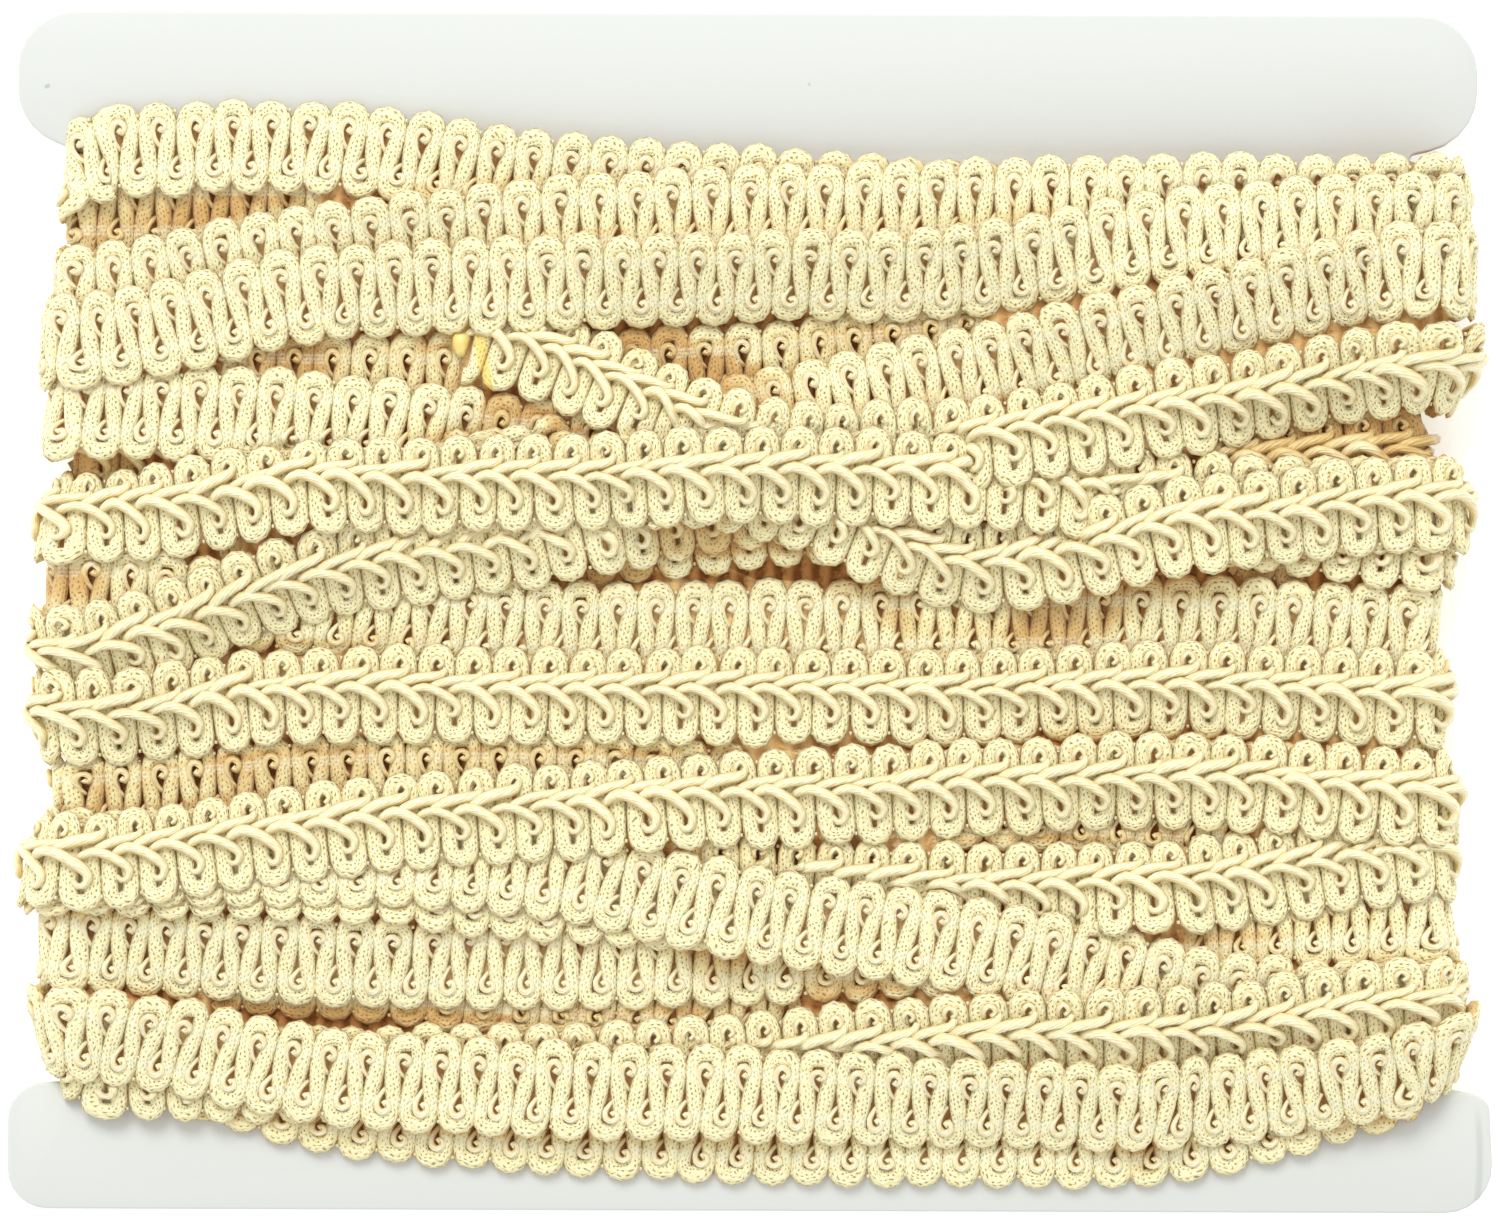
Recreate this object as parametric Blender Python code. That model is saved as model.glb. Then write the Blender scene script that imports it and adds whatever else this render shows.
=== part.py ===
"""Scroll gimp braid wound in slanting, crossing turns round a flat dog-bone card.

The pack lies on its back.  X runs along the card, Y up its face, and Z is up.
The origin is under the middle of the pack, on the surface that it lies on.
Lengths are in metres; the tables give millimetres.
"""
import math
from collections import namedtuple

import bmesh
import bpy
import numpy as np
from mathutils import Matrix, Vector
from mathutils.bvhtree import BVHTree

MM = 0.001
COLLECTION = "wound_braid_trim"

# The braid, measured flat
BRAID_WIDTH = 13.7 * MM
BRAID_THICKNESS = 2.3 * MM
PRESSED_THICKNESS = 1.7 * MM
EDGE_THICKNESS = 1.4 * MM
SPINE_RISE = 0.9 * MM
SPINE_HALF_WIDTH = 2.2 * MM
SPINE_OFFSET = 1.2 * MM

# The card: board, a narrow waist and two flanges with rounded ears
CARD_THICKNESS = 2.0 * MM
WAIST_HALF = 90.5 * MM
EAR_TOP = 62.6 * MM
EAR_BOTTOM = -64.4 * MM
ARC_STEP = math.radians(15)

# The wound pack
BACK_DEPTH = 7.2 * MM
PRESS_DEPTH = 40 * MM
CARD_LEVEL = BACK_DEPTH + CARD_THICKNESS / 2
CLEARANCE = 0.3 * MM
FRONT_STEPS = 50
EDGE_STEPS = 6
BACK_STEPS = 30
ROW_STEPS = 52
SAMPLE_PITCH = 0.5 * MM
SAMPLES = np.arange(-86 * MM, 86 * MM, SAMPLE_PITCH)
TILTS = np.linspace(-0.4, 0.4, 17)
TILT_COST = 0.6 * MM
EASE_PASSES = 2
SHOULDER = 3.0 * MM
SHOULDER_SLOPE = 0.9
END_INSET = 0.8 * MM
END_DROP = 0.7

# The loose end lies this far clear of the turns under it
LOOSE_THICKNESS = 2.2 * MM
LOOSE_GAP = 0.35 * MM
LOOSE_ROWS = 4
LOOSE_STEPS = 14
PROBE_REACH = 1.3 * MM

# One turn across the face: its rank in the pile at each end, and the height of
# its middle line, in millimetres, at seven stations from the left edge to the right
STATIONS = np.array((-90, -60, -30, 0, 30, 60, 90)) * MM
Turn = namedtuple("Turn", "name rank_left rank_right left l60 l30 middle r30 r60 right")

SCROLL_OUT = (
    Turn("top_first", 2.2, 2.0, 58.4, 63.4, 59.4, 57.1, 55.0, 53.7, 52.7),
    Turn("top_under", 1.0, 1.0, 55.0, 54.6, 53.4, 52.0, 51.0, 50.1, 49.4),
    Turn("top_second", 2.5, 2.6, 43.7, 49.4, 52.6, 54.4, 55.0, 55.9, 55.6),
    Turn("upper_long", 4.5, 3.0, 36.8, 43.2, 44.8, 46.0, 46.8, 51.2, 53.3),
    Turn("upper_steep", 0.5, 5.0, 7.1, 12.6, 19.4, 26.2, 32.6, 40.3, 46.6),
    Turn("gap_under", 0.9, 0.9, 31.6, 31.8, 31.9, 33.2, 36.5, 40.6, 43.3),
    Turn("left_upper", 2.0, 0.5, 27.3, 26.2, 23.1, 19.4, 15.3, 11.2, 7.4),
    Turn("middle_plain", 2.2, 2.2, 2.7, 0.4, -1.9, -2.2, -1.5, -1.4, -2.6),
    Turn("lower_under", 1.5, 1.0, -25.7, -23.2, -22.7, -24.3, -25.7, -27.7, -29.8),
    Turn("lower_steep", 4.5, 2.5, -33.6, -34.0, -35.2, -41.0, -45.4, -51.2, -54.4),
    Turn("lower_long", 2.0, 1.6, -35.2, -35.8, -38.4, -39.9, -41.4, -43.4, -45.5),
    Turn("low_first", 1.8, 1.8, -45.5, -47.1, -47.8, -47.1, -45.9, -43.4, -42.1),
    Turn("low_under", 0.8, 0.8, -48.2, -48.9, -50.8, -52.3, -53.0, -53.7, -54.4),
    Turn("bottom_first", 6.0, 6.0, -57.2, -63.0, -65.0, -65.8, -66.5, -66.7, -62.6),
    Turn("bottom_under", 1.0, 1.0, -58.2, -67.2, -70.2, -71.7, -72.1, -71.4, -63.8),
)
SPINE_OUT = (
    Turn("loose_run", 3.0, 5.5, 26.0, 26.0, 24.0, 22.4, 22.8, 28.0, 33.5),
    Turn("spine_first", 6.0, 4.0, 12.6, 16.7, 17.3, 18.6, 17.5, 15.3, 14.6),
    Turn("spine_right", 0.0, 6.0, 22.1, 19.4, 15.3, 10.5, 6.8, 11.6, 14.5),
    Turn("spine_left", 3.0, 1.5, -5.2, 5.1, 9.7, 12.3, 15.4, 19.1, 21.3),
    Turn("spine_inner", 0.7, 2.5, 7.1, 6.4, 5.7, 5.1, 4.4, 4.6, 3.0),
    Turn("spine_middle", 4.0, 4.0, -14.2, -11.5, -11.6, -11.7, -11.6, -10.5, -11.9),
    Turn("spine_glimpse", 1.0, 1.0, -18.2, -20.2, -21.3, -20.9, -19.5, -18.2, -17.5),
    Turn("spine_lower", 5.0, 5.0, -34.2, -30.1, -27.6, -25.7, -24.0, -22.9, -25.4),
    Turn("spine_low_right", 0.0, 4.0, -39.3, -38.0, -36.9, -36.9, -38.2, -37.6, -33.1),
    Turn("spine_bottom", 5.0, 5.0, -62.6, -63.2, -62.8, -61.4, -57.5, -56.7, -53.3),
)
LOOSE_RUN_START = -2 * MM

# Where a chain of turns begins or ends, it tucks across the back below the rest
Tuck = namedtuple("Tuck", "spine left right")
TUCKS = (Tuck(False, 58.4, 50.0), Tuck(False, -50.0, -62.6), Tuck(True, -20.0, -53.3))
TUCK_RANK = -1.0

# The loose end's middle line and how far it shows each side of it, in millimetres
LooseSection = namedtuple("LooseSection", "x y above below")
LOOSE_SECTIONS = (
    LooseSection(-40.5, 35.4, 0.9, 6.6),
    LooseSection(-31.0, 33.0, 3.6, 6.85),
    LooseSection(-24.0, 31.0, 5.6, 6.0),
    LooseSection(-17.8, 28.8, 6.6, 3.2),
    LooseSection(-9.6, 25.6, 6.85, -1.2),
    LooseSection(-4.5, 24.2, 6.6, -3.2),
)

Corner = namedtuple("Corner", "x y radius")
CARD_CORNERS = (
    Corner(-100.4, 82.5, 8.0),
    Corner(99.8, 81.8, 8.0),
    Corner(99.8, 64.6, 8.4),
    Corner(90.5, 62.6, 1.0),
    Corner(90.5, -64.4, 1.0),
    Corner(101.4, -66.6, 2.5),
    Corner(102.1, -82.5, 6.5),
    Corner(-101.9, -81.8, 5.5),
    Corner(-101.8, -64.6, 5.0),
    Corner(-90.5, -64.4, 1.0),
    Corner(-90.5, 62.6, 1.0),
    Corner(-100.4, 66.4, 8.0),
)

Strip = namedtuple("Strip", "y rank spine")
Column = namedtuple("Column", "x normal_x normal_z strips")

# Colours of the board and of the yarn
BOARD_COLOUR = (0.86, 0.87, 0.85, 1)
BRAID_COLOUR = (0.88, 0.80, 0.56, 1)


def clear_scene():
    """Take away whatever objects the file holds."""
    for item in list(bpy.data.objects):
        bpy.data.objects.remove(item, do_unlink=True)


def make_material(name, colour, roughness):
    """A plain finish with its colour and roughness."""
    material = bpy.data.materials.new(name)
    material.use_nodes = True
    shader = material.node_tree.nodes["Principled BSDF"]
    shader.inputs["Base Color"].default_value = colour
    shader.inputs["Roughness"].default_value = roughness
    shader.inputs["Metallic"].default_value = 0
    return material


def link_object(name, data, material, collection):
    """Place one named piece in the collection with its material."""
    data.materials.append(material)
    piece = bpy.data.objects.new(name, data)
    collection.objects.link(piece)
    return piece


def rounded_outline(corners):
    """Points round a polygon, each corner turned by an arc of its own radius."""
    points = []
    count = len(corners)
    for index, corner in enumerate(corners):
        here = Vector((corner.x, corner.y))
        before = (Vector(corners[index - 1][:2]) - here).normalized()
        after = (Vector(corners[(index + 1) % count][:2]) - here).normalized()
        half_angle = before.angle(after) / 2
        centre = here + (before + after).normalized() * corner.radius / math.sin(half_angle)
        reach = corner.radius / math.tan(half_angle)
        first = here + before * reach - centre
        turn = first.angle_signed(here + after * reach - centre)
        steps = max(2, round(abs(turn) / ARC_STEP))
        for step in range(steps + 1):
            turned = Matrix.Rotation(-turn * step / steps, 2) @ first
            points.append(centre + turned)
    return points


def build_card(collection):
    """The board, cut to its dog-bone outline."""
    curve = bpy.data.curves.new("card", "CURVE")
    curve.dimensions = "2D"
    curve.fill_mode = "BOTH"
    curve.extrude = CARD_THICKNESS / 2
    outline = rounded_outline(CARD_CORNERS)
    spline = curve.splines.new("POLY")
    spline.points.add(len(outline) - 1)
    for point, place in zip(spline.points, outline):
        point.co = (place.x * MM, place.y * MM, 0, 1)
    spline.use_cyclic_u = True
    board = make_material("card_board", BOARD_COLOUR, 0.7)
    card = link_object("card", curve, board, collection)
    card.location.z = CARD_LEVEL
    return card


def front_height(turn, x):
    """Height up the card of a turn's middle line, where it crosses the face."""
    values = np.array(turn[3:]) * MM
    span = STATIONS[1] - STATIONS[0]
    place = min(max((x - STATIONS[0]) / span, 0), len(values) - 1.0001)
    index = int(place)
    part = place - index
    before = values[max(index - 1, 0)]
    start, end = values[index], values[index + 1]
    after = values[min(index + 2, len(values) - 1)]
    slope_start, slope_end = (end - before) / 2, (after - start) / 2
    return (
        start * (1 + 2 * part) * (1 - part) ** 2
        + slope_start * part * (1 - part) ** 2
        + end * part**2 * (3 - 2 * part)
        + slope_end * part**2 * (part - 1)
    )


def blend(start, end, part):
    """A value part of the way from start to end."""
    return start + (end - start) * part


def face_strips(x):
    """The strips that cross the face at x."""
    part = (x + WAIST_HALF) / (2 * WAIST_HALF)
    strips = []
    for turns, spine in ((SCROLL_OUT, False), (SPINE_OUT, True)):
        for turn in turns:
            if turn.name == "loose_run" and x < LOOSE_RUN_START:
                continue
            rank = blend(turn.rank_left, turn.rank_right, part)
            strips.append(Strip(front_height(turn, x), rank, spine))
    return strips


def back_strips(x):
    """The strips that cross the back at x, from each turn's right end to the next one's left."""
    part = (WAIST_HALF - x) / (2 * WAIST_HALF)
    strips = []
    for turns, spine in ((SCROLL_OUT, False), (SPINE_OUT, True)):
        for turn, following in zip(turns, turns[1:]):
            y = blend(turn.right, following.left, part) * MM
            rank = blend(turn.rank_right, following.rank_left, part)
            strips.append(Strip(y, rank, spine))
    for tuck in TUCKS:
        strips.append(Strip(blend(tuck.right, tuck.left, part) * MM, TUCK_RANK, tuck.spine))
    return strips


def strip_thickness(offset, spine):
    """The braid's thickness across its width, with the raised spine on its face."""
    edge = np.abs(offset) / (BRAID_WIDTH / 2)
    body = BRAID_THICKNESS - (BRAID_THICKNESS - EDGE_THICKNESS) * edge**6
    if not spine:
        return body
    ridge = (offset - SPINE_OFFSET) / SPINE_HALF_WIDTH
    return body + SPINE_RISE * np.exp(-(ridge**2))


def pile_up(strips):
    """Height over the card at each sample up it, as each strip lies on those below."""
    seat_height = np.zeros(len(SAMPLES))
    surface = np.zeros(len(SAMPLES))
    for strip in sorted(strips, key=lambda item: item.rank):
        inside = np.abs(SAMPLES - strip.y) <= BRAID_WIDTH / 2
        offset = SAMPLES[inside] - strip.y
        seats = [(np.max(seat_height[inside] - tilt * offset), tilt) for tilt in TILTS]
        seat, tilt = min(seats, key=lambda pair: pair[0] + TILT_COST * abs(pair[1]))
        bed = seat + tilt * offset
        seat_height[inside] = bed + PRESSED_THICKNESS
        surface[inside] = bed + strip_thickness(offset, strip.spine)
    return surface


def eased_piles(columns):
    """The pile of every column, pressed by the winding and eased between neighbours."""
    piles = np.array([pile_up(column.strips) for column in columns])
    for _ in range(EASE_PASSES):
        piles = (np.roll(piles, 1, axis=0) + 2 * piles + np.roll(piles, -1, axis=0)) / 4
    return piles * (1 - piles / PRESS_DEPTH)


def column_ends(column):
    """The lowest and highest point up the card that a column of the pack reaches."""
    reach = [strip.y for strip in column.strips]
    low, high = min(reach) - BRAID_WIDTH / 2, max(reach) + BRAID_WIDTH / 2
    room = 2 * CLEARANCE
    if abs(column.normal_z) == 1:
        room -= SHOULDER_SLOPE * max(WAIST_HALF - SHOULDER - abs(column.x), 0)
    return max(low, EAR_BOTTOM + room), min(high, EAR_TOP - room)


def pack_columns():
    """Columns round the waist: the face, the right edge, the back and the left edge."""
    columns = []
    for x in np.linspace(-WAIST_HALF, WAIST_HALF, FRONT_STEPS + 1):
        columns.append(Column(x, 0, 1, face_strips(x)))
    for step in range(1, EDGE_STEPS):
        angle = math.pi * step / EDGE_STEPS
        strips = face_strips(WAIST_HALF)
        columns.append(Column(WAIST_HALF, math.sin(angle), math.cos(angle), strips))
    for x in np.linspace(WAIST_HALF, -WAIST_HALF, BACK_STEPS + 1):
        columns.append(Column(x, 0, -1, back_strips(x)))
    for step in range(1, EDGE_STEPS):
        angle = math.pi * step / EDGE_STEPS
        strips = face_strips(-WAIST_HALF)
        columns.append(Column(-WAIST_HALF, -math.sin(angle), -math.cos(angle), strips))
    return columns


def column_profile(column, height):
    """Places up a column and the pack's height over the board at each."""
    low, high = column_ends(column)
    places = np.linspace(high, low, ROW_STEPS + 1)
    inside = np.clip(places, low + END_INSET, high - END_INSET)
    rise = np.maximum(np.interp(inside, SAMPLES, height), EDGE_THICKNESS)
    rise[[0, -1]] *= END_DROP
    return places, rise


def column_point(column, y, offset):
    """A point of the pack at a height over the board, out along the column's normal."""
    out = CARD_THICKNESS / 2 + offset
    x = column.x + column.normal_x * out
    z = CARD_LEVEL + column.normal_z * out
    return x, y, max(z, 0)


def bridge_rings(mesh, first, second):
    """Close the band between two rings of points."""
    count = len(first)
    for index in range(count):
        following = (index + 1) % count
        mesh.faces.new((first[index], first[following], second[following], second[index]))


def build_pack(collection):
    """The wound braid: one ring round the card's waist, with its bands and crossings."""
    mesh = bmesh.new()
    columns = pack_columns()
    piles = eased_piles(columns)
    profiles = [column_profile(column, pile) for column, pile in zip(columns, piles)]
    rings = []
    for row in range(ROW_STEPS + 1):
        ring = []
        for column, (places, rise) in zip(columns, profiles):
            ring.append(mesh.verts.new(column_point(column, places[row], rise[row])))
        rings.append(ring)
    inner = []
    for end in (0, -1):
        ring = []
        for column, (places, rise) in zip(columns, profiles):
            ring.append(mesh.verts.new(column_point(column, places[end], CLEARANCE)))
        inner.append(ring)
    loops = [inner[0]] + rings + [inner[1]]
    for first, second in zip(loops, loops[1:] + loops[:1]):
        bridge_rings(mesh, first, second)
    bmesh.ops.triangulate(mesh, faces=mesh.faces)
    bmesh.ops.recalc_face_normals(mesh, faces=mesh.faces)
    data = bpy.data.meshes.new("wound_braid")
    mesh.to_mesh(data)
    surface = BVHTree.FromBMesh(mesh)
    mesh.free()
    data.shade_smooth()
    data.set_sharp_from_angle(angle=math.radians(35))
    yarn = make_material("gimp_braid", BRAID_COLOUR, 0.85)
    return link_object("wound_braid", data, yarn, collection), surface


def surface_under(surface, x, y):
    """The highest point of the pack near a place on its face."""
    heights = []
    for step_x in (-1, 0, 1):
        for step_y in (-1, 0, 1):
            start = Vector((x + step_x * PROBE_REACH, y + step_y * PROBE_REACH, 1))
            place = surface.ray_cast(start, Vector((0, 0, -1)))[0]
            heights.append(place.z if place else CARD_LEVEL)
    return max(heights)


def loose_section(part):
    """The loose end's middle line, and its reach above and below it, part of the way along."""
    place = part * (len(LOOSE_SECTIONS) - 1)
    knots = np.arange(len(LOOSE_SECTIONS))
    return [np.interp(place, knots, column) * MM for column in zip(*LOOSE_SECTIONS)]


def build_loose_end(collection, surface):
    """The cut end of the braid, a sheet that lies in the gap over the turns below."""
    mesh = bmesh.new()
    lower, upper = [], []
    first = Vector(LOOSE_SECTIONS[0][:2])
    along = (Vector(LOOSE_SECTIONS[-1][:2]) - first).normalized()
    across = Vector((-along.y, along.x))
    for step in range(LOOSE_STEPS + 1):
        x, y, above, below = loose_section(step / LOOSE_STEPS)
        under_row, over_row = [], []
        for part in np.linspace(-below, above, LOOSE_ROWS + 1):
            place = Vector((x, y)) + across * part
            z = surface_under(surface, place.x, place.y) + LOOSE_GAP
            under_row.append(mesh.verts.new((place.x, place.y, z)))
            over_row.append(mesh.verts.new((place.x, place.y, z + LOOSE_THICKNESS)))
        lower.append(under_row)
        upper.append(over_row)
    sections = [under + over[::-1] for under, over in zip(lower, upper)]
    for one, two in zip(sections, sections[1:]):
        bridge_rings(mesh, one, two)
    for under, over in ((lower[0], upper[0]), (lower[-1], upper[-1])):
        for index in range(LOOSE_ROWS):
            mesh.faces.new((under[index], under[index + 1], over[index + 1], over[index]))
    bmesh.ops.triangulate(mesh, faces=mesh.faces)
    bmesh.ops.recalc_face_normals(mesh, faces=mesh.faces)
    data = bpy.data.meshes.new("loose_end")
    mesh.to_mesh(data)
    mesh.free()
    yarn = make_material("gimp_braid_end", BRAID_COLOUR, 0.85)
    return link_object("loose_end", data, yarn, collection)


def main():
    """Build the card, the wound braid and its loose end."""
    clear_scene()
    collection = bpy.data.collections.new(COLLECTION)
    bpy.context.scene.collection.children.link(collection)
    build_card(collection)
    pack, surface = build_pack(collection)
    build_loose_end(collection, surface)


main()
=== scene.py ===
"""The looks of a scroll gimp braid wound on a card.

The braid is a knitted cord laid in loops to and fro across its width. One face
shows the loops with a thin curl in each, the other has a spine of satin cord.
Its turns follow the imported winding: each lies on those that were wound before it.
Lengths are in metres; the tables give millimetres.
"""

import math
from collections import namedtuple
from functools import cache

import bpy
import numpy as np
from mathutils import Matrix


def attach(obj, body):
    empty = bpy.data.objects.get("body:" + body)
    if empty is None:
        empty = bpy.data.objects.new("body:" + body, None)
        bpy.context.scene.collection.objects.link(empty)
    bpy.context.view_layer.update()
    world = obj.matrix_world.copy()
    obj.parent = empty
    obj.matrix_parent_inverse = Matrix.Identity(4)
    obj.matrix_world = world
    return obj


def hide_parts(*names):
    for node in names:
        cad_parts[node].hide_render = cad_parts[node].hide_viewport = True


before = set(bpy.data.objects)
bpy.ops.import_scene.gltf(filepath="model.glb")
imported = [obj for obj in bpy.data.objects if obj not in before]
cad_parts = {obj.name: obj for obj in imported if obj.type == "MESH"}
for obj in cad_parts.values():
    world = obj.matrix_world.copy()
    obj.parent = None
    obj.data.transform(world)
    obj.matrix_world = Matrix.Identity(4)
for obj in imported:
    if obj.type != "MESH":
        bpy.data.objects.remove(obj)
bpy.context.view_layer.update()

bl_info = {
    "name": "Gimp braid on a card",
    "version": (1, 0, 0),
    "blender": (4, 5, 0),
    "location": "3D View > Sidebar > Gimp braid",
    "description": "Dresses the packed braid trim with its cords, satin spine, curls, stitches and board",
    "category": "Object",
}

MM = 0.001
PIXEL = 0.1366 * MM
PHOTO_SIZE = (1500, 1224)

# The card and the braid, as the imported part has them
CARD_THICKNESS = 2.0 * MM
WAIST_HALF = 90.5 * MM
BACK_DEPTH = 7.2 * MM
CARD_LEVEL = BACK_DEPTH + CARD_THICKNESS / 2
BRAID_WIDTH = 13.7 * MM
BRAID_THICKNESS = 2.3 * MM

# How far up and down the card a turn may lie at the waist's edges, on the back and on the face,
# and how much more room it has for each step in from them
EAR_ROOM = 57.6 * MM
FACE_ROOM = 61.0 * MM
EAR_SLOPE = 1.2

# How the winding presses the pile: the thickness of a turn with others over it, the height at
# which nothing more would be left, the share that stays where the back lies on the table, and
# how softly the lowest yarn flattens there
PRESSED_THICKNESS = 1.7 * MM
PRESS_DEPTH = 40 * MM
PRESS_SHARE = 0.3
FLOOR_SOFTNESS = 0.3 * MM

# The columns that the turns are laid in, the samples up each column, and the tilts that a turn
# can take on those below it, with what a tilt has to save in height
COLUMNS = np.linspace(-WAIST_HALF, WAIST_HALF, 92)
SAMPLE_PITCH = 0.5 * MM
SAMPLES = np.arange(-86 * MM, 86 * MM, SAMPLE_PITCH)
TILTS = np.linspace(-0.4, 0.4, 17)
TILT_COST = 0.6 * MM

# The steps of a route: their length, the angles round the card's edge, how many neighbours ease
# a value, how many steps lie between two small lifts and the least share that counts as seen
ROUTE_STEP = 0.5 * MM
EDGE_ANGLES = np.linspace(0, math.pi, 11)[1:-1]
EASE_REACH = 3
LIFT_STEPS = 24
LEAST_SEEN = 0.01

# The loops lean with a turn's slope up to this sine and slide past each other beyond it
MOST_LEAN = 0.36

# Room for a turn under the next one above it, at these places across the turn
OFFSETS = np.arange(-8.0, 8.01, 0.5) * MM
OPEN_ROOM = 4.8 * MM
LEAST_ROOM = 0.25 * MM
ROOM_GAP = 0.12 * MM

# The shaded yarn, a sheet in painted shade under the loops: how far it lies below the top of the
# pile, the pitch of its rows, how far it stays in from the ears, its step in columns and reach in
# samples, its least height and its hem's, and the size of its map
CORE_DROP = 1.5 * MM
CORE_ROW = 1.6 * MM
CORE_INSET = 1.8 * MM
CORE_STEP = 2
CORE_REACH = 4
CORE_LEAST = 0.3 * MM
CORE_HEM = 0.1 * MM
CORE_RING_LENGTH = 2 * MM
CORE_GIRTH = 300 * MM

# Painted shade beside a higher edge, and more of it between two: its reach in samples, its slope
# away from the edge, and how much of it counts
SHADE_REACH = 8
SHADE_SLOPE = 0.4
SHADE_SHARE = 0.65
TRENCH_REACH = 11
TRENCH_SLOPE = 0.25
TRENCH_GAIN = 2.2

# The large soft light and the camera
KEY_PLACE = (-0.60, 2.20, 2.475)
KEY_TURN = (math.radians(-42), math.radians(-10), 0)
KEY_SIZE = 1.6
FILM_WIDTH = 36.0
SHARP_LEVEL = 0.012

# One turn across the face: its rank in the pile at each end, and the height of
# its middle line, in millimetres, at seven stations from the left edge to the right
STATIONS = np.array((-90, -60, -30, 0, 30, 60, 90)) * MM
Turn = namedtuple("Turn", "name rank_left rank_right left l60 l30 middle r30 r60 right")
Run = namedtuple("Run", "spine right left rank_right rank_left")

SCROLL_OUT = (
    Turn("top_first", 2.2, 2.0, 62.6, 63.4, 59.4, 57.1, 55.0, 53.7, 52.7),
    Turn("top_under", 1.0, 1.0, 55.0, 54.6, 53.4, 52.0, 51.0, 50.1, 49.4),
    Turn("top_second", 2.5, 2.6, 43.7, 49.4, 52.6, 54.4, 55.0, 55.9, 55.6),
    Turn("upper_long", 4.5, 3.0, 36.8, 43.2, 44.8, 46.0, 46.8, 51.2, 53.3),
    Turn("upper_steep", 0.5, 5.0, 7.1, 12.6, 19.4, 26.2, 32.6, 40.3, 46.6),
    Turn("gap_under", 0.9, 0.9, 31.6, 31.8, 31.9, 33.2, 36.5, 40.6, 43.3),
    Turn("left_upper", 2.0, 0.5, 27.3, 26.2, 23.1, 19.4, 15.3, 11.2, 7.4),
    Turn("middle_plain", 2.2, 2.2, 2.7, 0.4, -1.9, -2.2, -1.5, -1.4, -2.6),
    Turn("lower_under", 1.5, 1.0, -25.7, -23.2, -22.7, -24.3, -25.7, -27.7, -29.8),
    Turn("lower_steep", 4.5, 2.5, -33.6, -34.0, -35.2, -41.0, -45.4, -51.2, -54.4),
    Turn("lower_long", 2.0, 1.6, -35.2, -35.8, -38.4, -39.9, -41.4, -43.4, -45.5),
    Turn("low_first", 1.8, 1.8, -45.5, -47.1, -47.8, -47.1, -45.9, -43.4, -42.1),
    Turn("low_under", 0.8, 0.8, -48.2, -49.2, -51.8, -53.6, -54.0, -54.2, -54.4),
    Turn("bottom_first", 6.0, 6.0, -57.2, -63.0, -65.0, -65.8, -66.5, -66.7, -62.6),
    Turn("bottom_under", 1.0, 1.0, -58.2, -67.2, -70.2, -71.7, -72.1, -71.4, -63.8),
)
SPINE_OUT = (
    Turn("loose_run", 3.0, 5.5, 44.0, 42.4, 35.2, 23.0, 22.8, 28.0, 33.5),
    Turn("spine_first", 6.0, 4.0, 12.6, 16.7, 17.3, 18.6, 17.5, 15.3, 14.6),
    Turn("spine_right", 0.0, 6.0, 22.1, 19.4, 18.0, 17.0, 6.8, 11.6, 14.5),
    Turn("spine_left", 3.0, 1.5, -5.2, 5.1, 9.9, 15.4, 16.6, 19.1, 21.3),
    Turn("spine_inner", 0.7, 2.5, 7.1, 7.0, 9.0, 12.6, 14.0, 13.6, 9.4),
    Turn("spine_middle", 4.0, 4.0, -14.2, -11.5, -11.6, -11.7, -11.6, -10.5, -11.9),
    Turn("spine_glimpse", 1.0, 1.0, -18.2, -20.2, -21.3, -20.9, -19.5, -18.2, -17.5),
    Turn("spine_lower", 5.0, 5.0, -34.2, -30.1, -27.6, -25.7, -24.0, -22.9, -25.4),
    Turn("spine_low_right", 0.0, 4.0, -39.3, -38.0, -36.9, -36.9, -38.2, -37.6, -33.1),
    Turn("spine_bottom", 5.0, 5.0, -62.6, -63.2, -62.8, -61.4, -57.5, -56.7, -53.3),
)

# The tucks across the back, where a length of turns begins or ends, in millimetres up the card
START_TUCK, END_TUCK, SPINE_TUCK = 50.0, -50.0, -20.0
LOOSE_TIP = -41.0 * MM
LOOSE_REACH = 38.0 * MM
GLUED_LENGTH = 3.2 * MM
TUCK_RANK = -1.0
FACE, EDGE, BACK = 0, 1, 2

# How far the scalloped edge of a turn lets those below show
SCALLOP = 1.6 * MM

# The knitted cord in its loops, for each face of the braid: how far the loops reach, how much
# they bulge and lean, the cord's half width at a loop's end, at its sides and half way across
# the braid, half its thickness and the height of its middle
Loops = namedtuple("Loops", "reach bulge lean end_width side_width middle_width half_height level")
SCROLL_LOOPS = Loops(*(value * MM for value in (5.42, 0.42, 0.25, 1.42, 0.94, 1.18, 0.88, 1.15)))
SPINE_LOOPS = Loops(*(value * MM for value in (5.55, 0.13, 0.0, 1.32, 1.11, 1.26, 0.82, 1.10)))
RING_CROWDING = 0.65
KNIT_BUMPS = 0.06
END_RISE = 0.12 * MM

# The knit's dashes per millimetre round and along the cord, the crossing threads per millimetre
# across the braid and the shaded strands per metre across the card, each as the turn of its wave
WALE = 2 * math.pi / 0.50
COURSE = 2 * math.pi / 0.74
THREADS = 2 * math.pi / 0.55
STRANDS = 2 * math.pi / 0.00257

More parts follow.
